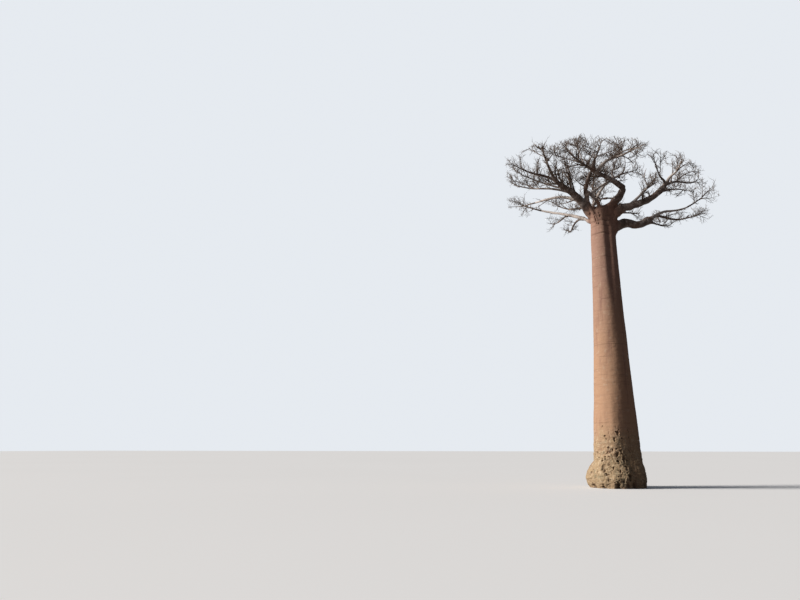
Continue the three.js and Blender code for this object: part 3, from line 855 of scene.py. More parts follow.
# Under each stout bough of the fork the trunk's flesh runs up into it
def flare_tube(bough):
    height = max(bough.seat[2] - FLARE_DROP * bough.base, COLUMN_TOP - FLARE_BELOW)
    depth = FLARE_DEPTH * float(bough.radius(FLARE_SAMPLE))
    turn = math.radians(bough.heading)
    way = np.array([math.cos(turn), math.sin(turn), 0])
    axis = np.array([FOOT_CENTRE_X + LEAN * height, 0, height])
    rim = float(trunk_radius(bough.heading, height))
    tuck = FLARE_TUCK * depth
    start = axis + way * (rim - FLARE_SUNK * depth)
    leaves = FLARE_LEAVES * rim / bough.length
    middle = axis + way * (rim - tuck) + UP * (bough.point(leaves)[2] - height - tuck)
    end = bough.point(leaves + FLARE_REACH / bough.length)
    return bowed_tube(start, middle, end, depth, FLARE_THINNING * depth)


# Between neighbouring boughs the fork closes in a saddle
def saddle_tube(first, second, radius):
    start = BY_NAME[first].point(SADDLE_AT / BY_NAME[first].length)
    end = BY_NAME[second].point(SADDLE_AT / BY_NAME[second].length)
    return bowed_tube(start, (start + end) / 2 - UP * SADDLE_DIP, end, radius, radius)


def remeshed(mesh, voxel):
    helper = bpy.data.objects.new("helper", mesh)
    scene.collection.objects.link(helper)
    skin = helper.modifiers.new("skin", "REMESH")
    skin.mode = "VOXEL"
    skin.voxel_size = voxel
    made = bpy.data.meshes.new_from_object(helper.evaluated_get(bpy.context.evaluated_depsgraph_get()))
    bpy.data.objects.remove(helper)
    return made


def sample_count(bough):
    return int(bough.length * bough.end / SAMPLE_STEP) + 1


# Samples along every limb's middle, each with the limb's radius, how far along it lies, and whether its bark
# is pale
def limb_samples():
    tree = kdtree.KDTree(sum(sample_count(bough) for bough in LIMBS))
    rows = []
    for bough in LIMBS:
        shares = np.linspace(0, bough.end, sample_count(bough))
        for share, point, radius in zip(shares, bough.point(shares).tolist(), bough.radius(shares)):
            tree.insert(point, len(rows))
            rows.append((radius, share * bough.length, bough.name in PALE_LIMBS))
    tree.balance()
    return tree, np.array(rows)


def coordinates(mesh):
    points = np.empty(len(mesh.vertices) * 3)
    mesh.vertices.foreach_get("co", points)
    return points.reshape(-1, 3)


def limb_skin():
    whole = bmesh.new()
    tubes = [trunk_top_tube()] + [bough_tube(bough) for bough in LIMBS]
    tubes += [flare_tube(bough) for bough in BOUGHS if bough.seat and bough.base > FLARED]
    tubes += [saddle_tube(*saddle) for saddle in SADDLES]
    for tube in tubes:
        part = bpy.data.meshes.new("part")
        tube.to_mesh(part)
        tube.free()
        whole.from_mesh(part)
        bpy.data.meshes.remove(part)
    joined = bpy.data.meshes.new("joined")
    whole.to_mesh(joined)
    whole.free()
    return remeshed(joined, VOXEL)


def smooth_where(shape, thick):
    for least, rounds in SMOOTHING:
        corners = [v for v, keep in zip(shape.verts, (thick > least).tolist()) if keep]
        for _ in range(rounds):
            bmesh.ops.smooth_vert(shape, verts=corners, factor=0.5, use_axis_x=True, use_axis_y=True,
                                  use_axis_z=True)


# The angle of each point round the trunk, and whether its bark is the trunk's, from 0 to 1
def trunk_part(points):
    height = points[:, 2]
    centre = FOOT_CENTRE_X + LEAN * height
    rim = np.hypot(points[:, 0] - centre, points[:, 1])
    angle = np.degrees(np.arctan2(points[:, 1], points[:, 0] - centre))
    beyond = rim - trunk_radius(angle, np.minimum(height, TRUNK_RIM_TOP))
    return angle, (1 - ease(beyond, *TRUNK_BLENDS)) * (1 - ease(height, *TRUNK_FADES))


# The relief of the boughs' bark, and how much shade is painted where each point lies deep in a crease
def limb_relief(points, along, thick):
    places = [along / WRINKLE_SPACING, thick * WRINKLE_BY_GIRTH, points[:, 2] * WRINKLE_BY_HEIGHT]
    wrinkle = lumps(np.stack(places, axis=-1), 1, WRINKLE_SEED)
    swell = LIMB_SWELL * thick * lumps(points, *LIMB_SWELLS)
    out = swell.clip(-LIMB_SWELL_MOST, LIMB_SWELL_MOST) + lumps_of(points, LIMB_GRAIN)
    out += LIMB_WRINKLE * thick.clip(0, WRINKLED_GIRTH) * wrinkle
    return out, LIMB_SHADE * np.clip(-wrinkle * WRINKLE_DARKNESS - WRINKLE_CLEAR, 0, 1)


# The skin of the boughs: smoothed more where limbs are thick, then given the relief of its bark
def crown_skin():
    mesh = limb_skin()
    tree, rows = limb_samples()
    points = coordinates(mesh)
    nearest = np.array([tree.find(point)[1] for point in points.tolist()])
    angle, trunk_share = trunk_part(points)
    near_fork = np.linalg.norm(points - FORK_MIDDLE, axis=1) < FORK_REACH
    thick = np.maximum(rows[nearest, 0], FORK_THICKNESS * near_fork)

    shape = bmesh.new()
    shape.from_mesh(mesh)
    smooth_where(shape, thick)
    shape.to_mesh(mesh)
    shape.free()

    points = coordinates(mesh)
    out_ways = np.array([v.normal[:] for v in mesh.vertices])
    out, crease = limb_relief(points, rows[nearest, 1], thick)
    on_trunk = trunk_share > WHOLLY_TRUNK
    out[on_trunk], crease[on_trunk] = trunk_relief(angle[on_trunk], points[on_trunk, 2])
    points = points + out_ways * out[:, None]
    mesh.vertices.foreach_set("co", points.ravel())
    # The mask of shade painted into the creases, pits, hollows and wrinkles of the skin
    set_mask(mesh, "crease", crease)
    set_mask(mesh, "trunk_share", trunk_share)
    set_mask(mesh, "paleness", [np.mean(rows[[found[1] for found in tree.find_n(point, PALE_NEIGHBOURS)], 2])
                                for point in points.tolist()])
    return mesh


# Cuts a closed skin by planes, each given by a point and the side to drop, and closes every cut
def cut_piece(name, mesh, planes, materials):
    shape = bmesh.new()
    shape.from_mesh(mesh)
    for point, drop in planes:
        whole = shape.verts[:] + shape.edges[:] + shape.faces[:]
        cut = bmesh.ops.bisect_plane(shape, geom=whole, dist=CUT_SNAP, plane_co=point, plane_no=drop,
                                     clear_outer=True)
        edges = [g for g in cut["geom_cut"] if isinstance(g, bmesh.types.BMEdge)]
        bmesh.ops.holes_fill(shape, edges=edges, sides=0)
        for edge in edges:
            edge.smooth = False
    part = bpy.data.meshes.new(name)
    shape.to_mesh(part)
    shape.free()
    return finished(name, part, materials)


# Endless columns of numbers from 0 to 1, one row for each whole-number seed. The steps are those of
# mulberry32, as for the solid twigs.
def numbers(seeds):
    state = seeds.astype(np.uint32)
    while True:
        state = state + np.uint32(0x6D2B79F5)
        mixed = (state ^ (state >> np.uint32(15))) * (state | np.uint32(1))
        mixed = mixed ^ (mixed + (mixed ^ (mixed >> np.uint32(7))) * (mixed | np.uint32(61)))
        yield (mixed ^ (mixed >> np.uint32(14))) / 2 ** 32


@dataclass
class Shoots:
    course: np.ndarray
    radius: np.ndarray
    tip: np.ndarray
    length: np.ndarray
    seed: np.ndarray
    turn: np.ndarray
    mass: np.ndarray
    sides: int

    def kept(self, keep):
        parts = {key: value[keep] for key, value in vars(self).items() if key != "sides"}
        return replace(self, **parts)


# Each shoot bends towards the light and wanders a little at each step
def shoot_courses(start, direction, length, rule, random):
    course = [start]
    heading = direction
    for _ in range(rule.steps):
        stray = np.stack([next(random) - 0.5 for _ in range(3)], axis=-1)
        heading = unit(heading + 2 * rule.wander * stray + UP * rule.lift / rule.steps)
        course.append(course[-1] + heading * (length / rule.steps)[:, None])
    return np.stack(course, axis=1)


def points_on(course, share):
    steps = course.shape[1] - 1
    place = np.minimum(share, COURSE_END) * steps
    index = np.floor(place).astype(int)
    rows = np.arange(len(course))
    first, second = course[rows, index], course[rows, index + 1]
    return first + (second - first) * (place - index)[:, None], unit(second - first)


# The way a shoot leaves its parent: tipped by spread, and turned round the parent by azimuth
def sideways(direction, spread, azimuth):
    across = unit(np.cross(direction, UP))
    over = np.cross(across, direction)
    tip, turn = math.radians(spread), np.radians(azimuth)[:, None]
    return direction * math.cos(tip) + math.sin(tip) * (across * np.cos(turn) + over * np.sin(turn))


def shoots_on(parents, rule):
    count = np.floor(parents.length * (1 - rule.first) / rule.every + 0.5).astype(int)
    owner = np.repeat(np.arange(len(count)), count)
    order = np.arange(len(owner)) - np.repeat(np.cumsum(count) - count, count)
    seed = parents.seed[owner] * np.uint32(SEEDS_APART) + (order + 1 + rule.salt).astype(np.uint32)
    random = numbers(seed)
    place = order + SPACING_START + SPACING_JITTER * next(random)
    share = rule.first + (1 - rule.first) * place / count[owner]
    azimuth = parents.turn[owner] + order * GOLDEN_ANGLE + AZIMUTH_JITTER * (next(random) - 0.5)
    start, along = points_on(parents.course[owner], share)
    if rule.reach:
        length = rule.reach * (NEAR_LENGTH + (FAR_LENGTH - NEAR_LENGTH) * share)
        length = length * (SHORTEST + 2 * (1 - SHORTEST) * next(random))
    else:
        length = parents.length[owner] * rule.share * (SHOOT_LONGEST - SHOOT_SHORTENING * share)
    local = parents.radius[owner] + (parents.tip[owner] - parents.radius[owner]) * share
    course = shoot_courses(start, sideways(along, rule.spread, azimuth), length, rule, random)
    return Shoots(course, np.maximum(local * rule.girth, rule.tip), np.full(len(owner), rule.tip), length,
                  seed, azimuth, parents.mass[owner], rule.sides)


MASSES = [bough for bough in BOUGHS if bough.twigs]


def mass_layout():
    tips = np.array([bough.point(1.0) for bough in MASSES])
    beyond = unit(np.array([bough.direction(NEAR_TIP) for bough in MASSES]) + UP * STEM_LIFT)
    reach = np.array([bough.twigs for bough in MASSES])
    return tips, beyond, tips + beyond * (reach * MIDDLE_PAST_TIP)[:, None], reach


TIPS, BEYOND, MIDDLES, REACH = mass_layout()


# Whether points lie nearer to their own mass's middle than to any other's, by a margin
def inside_space(points, mass, margin):
    distance = ((points[:, None] - MIDDLES[None]) ** 2).sum(axis=2)
    between = np.linalg.norm(MIDDLES[mass][:, None] - MIDDLES[None], axis=2)
    lead = (distance - distance[np.arange(len(mass)), mass][:, None]) / (2 * np.maximum(between, TINY))
    lead[np.arange(len(mass)), mass] = np.inf
    return (lead > margin[:, None]).all(axis=1)


def limb_segments():
    starts, ends, radii = [], [], []
    for bough in BOUGHS:
        count = math.ceil(bough.length / LIMB_SAMPLE)
        shares = np.arange(count + 1) / count * bough.end
        points, radius = bough.point(shares), bough.radius(shares)
        starts.append(points[:-1])
        ends.append(points[1:])
        radii.append(np.maximum(radius[:-1], radius[1:]))
    return np.concatenate(starts), np.concatenate(ends), np.concatenate(radii)


SEGMENTS = limb_segments()


def clear_of_limbs(points, margin):
    starts, ends, radii = SEGMENTS
    clear = np.ones(len(points), bool)
    for start, end, radius in zip(starts, ends, radii):
        way = end - start
        share = np.clip((points - start) @ way / (way @ way), 0, 1)
        clear &= np.linalg.norm(points - start - share[:, None] * way, axis=1) > radius + margin
    return clear


def fitting(shoots):
    keep = np.ones(len(shoots.length), bool)
    for share in FIT_SAMPLES:
        points, _ = points_on(shoots.course, np.full(len(keep), share))
        keep &= inside_space(points, shoots.mass, SPACE_MARGIN + shoots.radius)
        keep &= clear_of_limbs(points, LIMB_MARGIN + shoots.radius)
    return shoots.kept(keep)


# Where points fall in the photograph
def photo_pixels(points):
    tilt, turn = math.radians(TILT_UP), math.radians(TURN_LEFT)
    ahead = np.array([-math.sin(turn) * math.cos(tilt), math.cos(turn) * math.cos(tilt), math.sin(tilt)])
    right = np.array([math.cos(turn), math.sin(turn), 0])
    from_eye = points - np.array([0, -VIEW_DISTANCE, EYE_HEIGHT])
    scale = PHOTO_WIDTH * LENS_MM / SENSOR_MM / (from_eye @ ahead)
    above = np.cross(right, ahead)
    return PHOTO_MIDDLE[0] + scale * (from_eye @ right), PHOTO_MIDDLE[1] - scale * (from_eye @ above)


# Whether points show inside the crown's outline and in none of its patches of sky. Each point has its own
# stretch of the outline, so that the rim is ragged.
def against_crown(points, stretch):
    shown_x, shown_y = photo_pixels(points)
    x = CROWN_MIDDLE[0] + (shown_x - CROWN_MIDDLE[0]) / stretch
    y = CROWN_MIDDLE[1] + (shown_y - CROWN_MIDDLE[1]) / stretch
    inside = np.zeros(len(points), bool)
    for (x0, y0), (x1, y1) in zip(CROWN_OUTLINE, CROWN_OUTLINE[1:] + CROWN_OUTLINE[:1]):
        if y0 != y1:
            inside ^= ((y0 > y) != (y1 > y)) & (x < x0 + (x1 - x0) * (y - y0) / (y1 - y0))
    for middle_x, middle_y, half_width, half_height in SKY_GAPS:
        inside &= ((shown_x - middle_x) / half_width) ** 2 + ((shown_y - middle_y) / half_height) ** 2 > 1
    return inside


# Fine twigs stay within the reach of the frame's box, out of the limbs and out of the sky
def within_reach(shoots, first=0):
    low, high = np.array(cad_low), np.array(cad_high)
    points = shoots.course[:, first:].reshape(-1, 3)
    inside = ((points > low + BOX_MARGIN) & (points < high - BOX_MARGIN)).all(axis=1)
    inside &= clear_of_limbs(points, TWIG_MARGIN)
    stretch = 1 + RAGGED_RIM * (2 * next(numbers(shoots.seed)) - 1)
    inside &= against_crown(points, np.repeat(stretch, len(points) // len(stretch)))
    return shoots.kept(inside.reshape(len(shoots.length), -1).all(axis=1))


# The stem of each mass: on from its bough's end, past the bough's tip and beyond
def stems():
    seed = np.arange(1, len(MASSES) + 1).astype(np.uint32)
    random = numbers(seed)
    along = np.array([bough.direction(BOUGH_END) for bough in MASSES])
    start = np.array([bough.point(BOUGH_END) for bough in MASSES]) + along * SEAT_GAP
    bend = np.array([bough.point((1 + BOUGH_END) / 2) for bough in MASSES])
    beyond = shoot_courses(TIPS, BEYOND, REACH, SHOOT, random)
    course = np.concatenate([start[:, None], bend[:, None], beyond], axis=1)
    radius = np.array([float(bough.radius(BOUGH_END)) for bough in MASSES]) * STEM_GIRTH
    length = np.linalg.norm(np.diff(course, axis=1), axis=2).sum(axis=1)
    return Shoots(course, radius, np.full(len(seed), STEM_TIP), length, seed, 360 * next(random),
                  np.arange(len(seed)), STEM_SIDES)


# Boughs as parents of the shoots along their outer parts. One without twigs of its own shares in the nearest
# mass.
def bough_parents(boughs):
    course = np.array([bough.point(np.linspace(0, bough.end, BOUGH_POINTS)) for bough in boughs])
    length = np.array([bough.length * bough.end for bough in boughs])
    index = np.array([LIMBS.index(bough) for bough in boughs])
    base = np.array([bough.base for bough in boughs])
    end = np.array([float(bough.radius(bough.end)) for bough in boughs])
    nearest = np.linalg.norm(course[:, -1, None] - MIDDLES[None], axis=2).argmin(axis=1)
    mass = np.array([MASSES.index(bough) if bough.twigs else near for bough, near in zip(boughs, nearest)])
    seed = (BOUGH_SEED + index).astype(np.uint32)
    return Shoots(course, base, end, length, seed, BOUGH_TURN * index, mass, STEM_SIDES)


# Shoots along the boughs: none that heads down, or that would pass through a limb on its way
def limb_shoots(parents, rule):
    shoots = shoots_on(parents, rule)
    shoots = shoots.kept(shoots.course[:, 1, 2] > shoots.course[:, 0, 2] - DROOP)
    halfway, _ = points_on(shoots.course, np.full(len(shoots.length), 0.5))
    clear = clear_of_limbs(halfway, HALFWAY_MARGIN) & clear_of_limbs(shoots.course[:, -1], END_MARGIN)
    return within_reach(shoots.kept(clear), first=2)


def grown_crown():
    stem = stems()
    shoots = fitting(shoots_on(stem, SHOOT))
    side = fitting(shoots_on(shoots, SIDE_SHOOT))
    full = [bough for bough in MASSES if bough.name not in SPARSE]
    crest = [bough for bough in SMALL_LIMBS if bough.name in BRANCHED]
    thin = bough_parents([bough for bough in BOUGHS if bough.name in SPARSE + BARE_LIMBS])
    branches = limb_shoots(bough_parents(full + crest), BRANCH)
    limb = limb_shoots(bough_parents(full + SMALL_LIMBS), LIMB_SHOOT)
    low_limb = limb_shoots(thin, replace(LIMB_SHOOT, first=SPARSE_FIRST))
    branchlets = within_reach(shoots_on(branches, BRANCHLET))
    coarse = [stem, shoots, side, branches, limb, low_limb, branchlets]
    twigs = [within_reach(shoots_on(parents, TWIG)) for parents in coarse]
    fine = [within_reach(shoots_on(parents, FINE_TWIG)) for parents in coarse + twigs]
    return coarse + twigs + fine


# Slim tubes along many courses at once, each ending in a point: corners and triangles
def tube_arrays(shoots):
    course = shoots.course
    count, rings = len(course), course.shape[1] - 1
    sides = shoots.sides
    ahead = np.concatenate([course[:, 1:2] - course[:, :1], course[:, 2:] - course[:, :-2]], axis=1)
    direction = unit(ahead)
    across = unit(np.cross(direction[:, :1], NEARLY_UPRIGHT))
    across = unit(across - direction * (across * direction).sum(axis=2, keepdims=True))
    over = np.cross(across, direction)
    shares = np.arange(rings) / rings
    radius = shoots.radius[:, None] + (shoots.tip - shoots.radius)[:, None] * shares
    turns = 2 * np.pi * np.arange(sides) / sides
    ring = across[:, :, None] * np.cos(turns)[:, None] + over[:, :, None] * np.sin(turns)[:, None]
    corners = course[:, :rings, None] + ring * radius[:, :, None, None]
    points = np.concatenate([corners.reshape(count, -1, 3), course[:, -1:]], axis=1)

    faces = []
    for i in range(rings - 1):
        for j in range(sides):
            a, b = i * sides + j, i * sides + (j + 1) % sides
            faces += [(a, a + sides, b + sides), (a, b + sides, b)]
    last = (rings - 1) * sides
    faces += [(last + j, rings * sides, last + (j + 1) % sides) for j in range(sides)]
    faces += [(0, j, j + 1) for j in range(1, sides - 1)]
    each = points.shape[1]
    triangles = np.array(faces)[None] + (np.arange(count) * each)[:, None, None]
    tint = (TINT_BY_MASS * shoots.mass + (shoots.seed >> np.uint32(TINT_SHIFT)).astype(int)) % len(TWIG_BARKS)
    return points.reshape(-1, 3), triangles.reshape(-1, 3), np.repeat(tint, len(faces))


def twig_piece(name, levels, group, materials):
    points, triangles, tints, total = [], [], [], 0
    for shoots in levels:
        some = shoots.kept(np.isin(shoots.mass, group))
        if not len(some.length):
            continue
        corners, faces, tint = tube_arrays(some)
        points.append(corners)
        triangles.append(faces + total)
        tints.append(tint)
        total += len(corners)
    mesh = bpy.data.meshes.new(name)
    mesh.from_pydata(np.concatenate(points), [], np.concatenate(triangles))
    mesh.polygons.foreach_set("material_index", np.concatenate(tints).astype(np.int32))
    mesh.update()
    return finished(name, mesh, materials)


# Masses side by side share a piece while it stays under its number of triangles
def mass_groups(levels):
    weight = np.zeros(len(MASSES))
    for shoots in levels:
        rings, sides = shoots.course.shape[1] - 1, shoots.sides
        each = 2 * sides * (rings - 1) + 2 * sides - 2
        weight += each * np.bincount(shoots.mass, minlength=len(MASSES))
    around = np.argsort(np.arctan2(MIDDLES[:, 1], MIDDLES[:, 0]))
    groups, load = [[]], 0
    for mass in around.tolist():
        if load + weight[mass] > PIECE_TRIANGLES:
            groups.append([])
            load = 0
        groups[-1].append(mass)
        load += weight[mass]
    return groups


class Nodes:
    """Shader nodes of one material or group, added and linked in short lines."""

    def __init__(self, tree):
        self.tree = tree

    def add(self, kind, **settings):
        node = self.tree.nodes.new("ShaderNode" + kind)
        for key, value in settings.items():
            setattr(node, key, value)
        return node

    def link(self, start, end):
        self.tree.links.new(start, end)

    def noise(self, vector, size, detail=3.0, roughness=0.55):
        node = self.add("TexNoise")
        node.inputs["Scale"].default_value = 1 / size
        node.inputs["Detail"].default_value = detail
        node.inputs["Roughness"].default_value = roughness
        self.link(vector, node.inputs["Vector"])
        return node.outputs["Fac"]

    def stretched(self, vector, scale):
        node = self.add("Mapping")
        node.inputs["Scale"].default_value = scale
        self.link(vector, node.inputs["Vector"])
        return node.outputs["Vector"]

    def between(self, value, low, high, to_low=0.0, to_high=1.0):
        node = self.add("MapRange", interpolation_type="SMOOTHSTEP")
        self.link(value, node.inputs["Value"])
        for name, number in zip(("From Min", "From Max", "To Min", "To Max"), (low, high, to_low, to_high)):
            node.inputs[name].default_value = number
        return node.outputs["Result"]

    def maths(self, kind, first, second):
        node = self.add("Math", operation=kind)
        for socket, value in zip(node.inputs, (first, second)):
            if isinstance(value, (int, float)):
                socket.default_value = value
            else:
                self.link(value, socket)
        return node.outputs[0]

    def mix(self, share, first, second, blend="MIX"):
        node = self.add("Mix", data_type="RGBA", blend_type=blend)
        for socket, value in ((node.inputs[0], share), (node.inputs[6], first), (node.inputs[7], second)):
            if isinstance(value, (int, float)):
                socket.default_value = value
            elif isinstance(value, tuple):
                socket.default_value = (*value, 1)
            else:
                self.link(value, socket)
        return node.outputs[2]

    def mask(self, name):
        return self.add("Attribute", attribute_name=name).outputs["Fac"]

    def coat(self, under, colour, pattern, start, full, most=1.0):
        """A coat of colour where a pattern rises from start to full, and at most so strong."""
        return self.mix(self.between(pattern, start, full, 0, most), under, colour)


def new_group(name, inputs, outputs):
    tree = bpy.data.node_groups.new(name, "ShaderNodeTree")
    for label, kind in inputs:
        tree.interface.new_socket(label, in_out="INPUT", socket_type="NodeSocket" + kind)
    for label, kind in outputs:
        tree.interface.new_socket(label, in_out="OUTPUT", socket_type="NodeSocket" + kind)
    given = tree.nodes.new("NodeGroupInput").outputs
    return tree, Nodes(tree), given, tree.nodes.new("NodeGroupOutput").inputs


# Fine grain of dry bark: a colour share and a height for the bump
def grain_group():
    tree, n, given, out = new_group("bark_grain", [("Vector", "Vector"), ("Size", "Float")],
                                    [("Shade", "Float"), ("Height", "Float")])
    scaled = n.add("VectorMath", operation="DIVIDE")
    n.link(given["Vector"], scaled.inputs[0])
    n.link(given["Size"], scaled.inputs[1])
    grain = n.noise(n.stretched(scaled.outputs[0], (1, 1, 0.45)), size=1.0, detail=6, roughness=0.65)
    flecks = n.noise(scaled.outputs[0], size=0.32, detail=3, roughness=0.6)
    n.link(n.between(flecks, 0.56, 0.72), out["Shade"])
    n.link(n.maths("ADD", grain, n.maths("MULTIPLY", flecks, 0.5)), out["Height"])
    return tree


def placed_group(n, tree, vector, size):
    node = n.add("Group", node_tree=tree)
    n.link(vector, node.inputs["Vector"])
    node.inputs["Size"].default_value = size
    return node.outputs


# How much gloss every surface has
SHEEN = 0.25


def new_material(name):
    material = bpy.data.materials.new(name)
    material.use_nodes = True
    n = Nodes(material.node_tree)
    shader = material.node_tree.nodes["Principled BSDF"]
    shader.inputs["Specular IOR Level"].default_value = SHEEN
    place = n.add("TexCoord").outputs["Object"]
    return material, n, shader, place


def bump(n, shader, height, distance, strength):
    node = n.add("Bump")
    node.inputs["Distance"].default_value = distance
    node.inputs["Strength"].default_value = strength
    n.link(height, node.inputs["Height"])
    n.link(node.outputs["Normal"], shader.inputs["Normal"])


# Colours of the bark, as light reflects from it
FOOT_BEIGE = (0.42, 0.305, 0.185)
FOOT_CREAM = (0.58, 0.46, 0.32)
LOW_TAN = (0.47, 0.285, 0.185)
HIGH_ROSE = (0.37, 0.225, 0.175)
ROSE_DARK = (0.24, 0.125, 0.10)
TAN_PALE = (0.54, 0.41, 0.31)
LIMB_GREY = (0.17, 0.13, 0.115)
LIMB_PALE = (0.66, 0.60, 0.57)
LIMB_DARK = (0.075, 0.05, 0.042)
LICHEN = (0.30, 0.25, 0.16)
# Painted shade: the brown darkened into creases, pits and hollows, which is also the colour of the grain's
# flecks
FLECK_AND_SHADE_BROWN = (0.085, 0.045, 0.03)
RUST = (0.36, 0.21, 0.15)
# Painted shade: the darkening laid on the trunk's side away from the key light
PAINTED_SHADE = (0.68, 0.62, 0.62)

# Heights in metres between which the trunk turns tan and then rose, and between which cream and lichen end.
# The first two waver up and down.
TAN_HEIGHTS = (1.4, 4.6)
ROSE_HEIGHTS = (6.5, 15.0)
HEIGHT_WAVER = 5.0
CREAM_HEIGHTS = (2.6, 4.0)
CREAM_STRENGTH = 0.8
LICHEN_HEIGHTS = (0.6, 4.2)
LICHEN_STRENGTH = 0.75

# Rust on the limbs is full and ends at these shares of its reach. Shade is painted on the trunk's side away
# from the key light, from and up to these distances from the upright through the origin.
RUST_RAGGED = 0.5
RUST_FULL = 0.7
RUST_END = 1.3
RUST_STRENGTH = 0.8
PAINTED_SHADE_HEADING = 15
PAINTED_SHADE_RAGGED = 0.3
PAINTED_SHADE_FROM = 0.1
PAINTED_SHADE_FULL = 0.9
PAINTED_SHADE_STRENGTH = 0.75

# How much the grain darkens and how much shade is painted into the creases, and twigs: name, dark and pale
# colour of each tint
BARK_GRAIN = 0.3
CREASE_SHADE_STRENGTH = 0.75
TWIG_GRAIN = 0.35
TWIG_ROUGHNESS = 0.85
TWIG_BARKS = [
    ("twig_bark", (0.14, 0.105, 0.09), (0.24, 0.195, 0.17)),
    ("twig_bark_pale", (0.22, 0.18, 0.16), (0.36, 0.31, 0.28)),
    ("twig_bark_dark", (0.10, 0.075, 0.063), (0.18, 0.14, 0.12)),
]


# Beige at the foot, tan above it and rose under the fork, with streaks, bands and patches
def trunk_colour(n, place, wide, mottle, streaks):
    split = n.add("SeparateXYZ")
    n.link(place, split.inputs[0])
    height = split.outputs["Z"]
    wavering = n.maths("ADD", height, n.maths("MULTIPLY", n.maths("SUBTRACT", wide, 0.5), HEIGHT_WAVER))
    colour = n.coat(FOOT_BEIGE, LOW_TAN, wavering, *TAN_HEIGHTS)
    colour = n.coat(colour, HIGH_ROSE, wavering, *ROSE_HEIGHTS)
    colour = n.coat(colour, ROSE_DARK, streaks, 0.5, 0.72, most=0.55)
    colour = n.coat(colour, TAN_PALE, mottle, 0.52, 0.72, most=0.5)
    specks = n.between(n.noise(place, size=0.16, detail=4), 0.5, 0.66)
    low = n.between(height, *CREAM_HEIGHTS, to_low=CREAM_STRENGTH, to_high=0)
    colour = n.mix(n.maths("MULTIPLY", specks, low), colour, FOOT_CREAM)
    bands = n.noise(n.stretched(place, (0.6, 0.6, 7.0)), size=1.0, detail=4, roughness=0.6)
    colour = n.coat(colour, ROSE_DARK, bands, 0.55, 0.75, most=0.28)
    low = n.between(height, *LICHEN_HEIGHTS, to_low=LICHEN_STRENGTH, to_high=0)
    patches = n.maths("MULTIPLY", n.between(mottle, 0.5, 0.6), low)
    return n.mix(n.maths("MULTIPLY", patches, n.between(wide, 0.42, 0.6)), colour, LICHEN)


# Grey-brown with dark streaks, pale on some limbs, and rusty in a few places near the fork
def limb_colour(n, place, wide, mottle, streaks):
    colour = n.coat(LIMB_GREY, LIMB_PALE, mottle, 0.45, 0.7, most=0.7)
    colour = n.coat(colour, LIMB_DARK, streaks, 0.5, 0.7, most=0.7)
    colour = n.coat(colour, HIGH_ROSE, wide, 0.55, 0.7, most=0.4)
    pale = n.maths("MULTIPLY", n.mask("paleness"), n.between(mottle, 0.3, 0.55, to_low=0.6, to_high=1.0))
    colour = n.mix(pale, colour, LIMB_PALE)
    for x, y, z, reach in RUST_PATCHES:
        away = n.add("VectorMath", operation="DISTANCE")
        n.link(place, away.inputs[0])
        away.inputs[1].default_value = (x, y, z)
        near = n.maths("ADD", away.outputs["Value"], n.maths("MULTIPLY", mottle, RUST_RAGGED * reach))
        rust = n.between(near, RUST_FULL * reach, RUST_END * reach, to_low=RUST_STRENGTH, to_high=0)
        colour = n.mix(rust, colour, RUST)
    return colour


# How strongly shade is painted on the trunk's side away from the key light
def painted_shade_side(n, place, streaks):
    turn = math.radians(PAINTED_SHADE_HEADING)
    facing = n.add("VectorMath", operation="DOT_PRODUCT")
    n.link(place, facing.inputs[0])
    facing.inputs[1].default_value = (math.cos(turn), math.sin(turn), 0)
    side = n.maths("ADD", facing.outputs["Value"], n.maths("MULTIPLY", streaks, PAINTED_SHADE_RAGGED))
    return n.between(side, PAINTED_SHADE_FROM, PAINTED_SHADE_FULL, to_high=PAINTED_SHADE_STRENGTH)


# Bark of the trunk and boughs, with shade painted into its creases, pits and hollows, and on the trunk's side
# away from the key light
def bark_material(grain):
    material, n, shader, place = new_material("bark")
    on_trunk = n.mask("trunk_share")
    wide = n.noise(place, size=1.1, detail=4, roughness=0.6)
    mottle = n.noise(place, size=0.28, detail=5, roughness=0.62)
    streaks = n.noise(n.stretched(place, (3.2, 3.2, 0.35)), size=1.0, detail=5, roughness=0.6)
    fine = placed_group(n, grain, place, size=0.09)

    limb = limb_colour(n, place, wide, mottle, streaks)
    colour = n.mix(on_trunk, limb, trunk_colour(n, place, wide, mottle, streaks))
    # Painted shade on the trunk's side away from the key light
    shaded_side = n.maths("MULTIPLY", on_trunk, painted_shade_side(n, place, streaks))
    colour = n.mix(shaded_side, colour, PAINTED_SHADE, "MULTIPLY")
    colour = n.mix(n.maths("MULTIPLY", fine["Shade"], BARK_GRAIN), colour, FLECK_AND_SHADE_BROWN)
    # Painted shade: darkening in the creases, pits and hollows of the bark
    colour = n.mix(n.maths("MULTIPLY", n.mask("crease"), CREASE_SHADE_STRENGTH), colour, FLECK_AND_SHADE_BROWN)
    n.link(colour, shader.inputs["Base Color"])
    n.link(n.between(mottle, 0.3, 0.7, to_low=0.72, to_high=0.92), shader.inputs["Roughness"])
    height = n.maths("ADD", fine["Height"], n.maths("MULTIPLY", mottle, 1.5))
    bump(n, shader, height, distance=0.012, strength=0.7)
    return material


def twig_material(name, dark, pale, grain):
    material, n, shader, place = new_material(name)
    fine = placed_group(n, grain, place, size=0.05)
    colour = n.coat(dark, pale, n.noise(place, size=0.22, detail=3), 0.4, 0.62)
    colour = n.mix(n.maths("MULTIPLY", fine["Shade"], TWIG_GRAIN), colour, LIMB_DARK)
    n.link(colour, shader.inputs["Base Color"])
    shader.inputs["Roughness"].default_value = TWIG_ROUGHNESS
    bump(n, shader, fine["Height"], distance=0.006, strength=0.6)
    return material


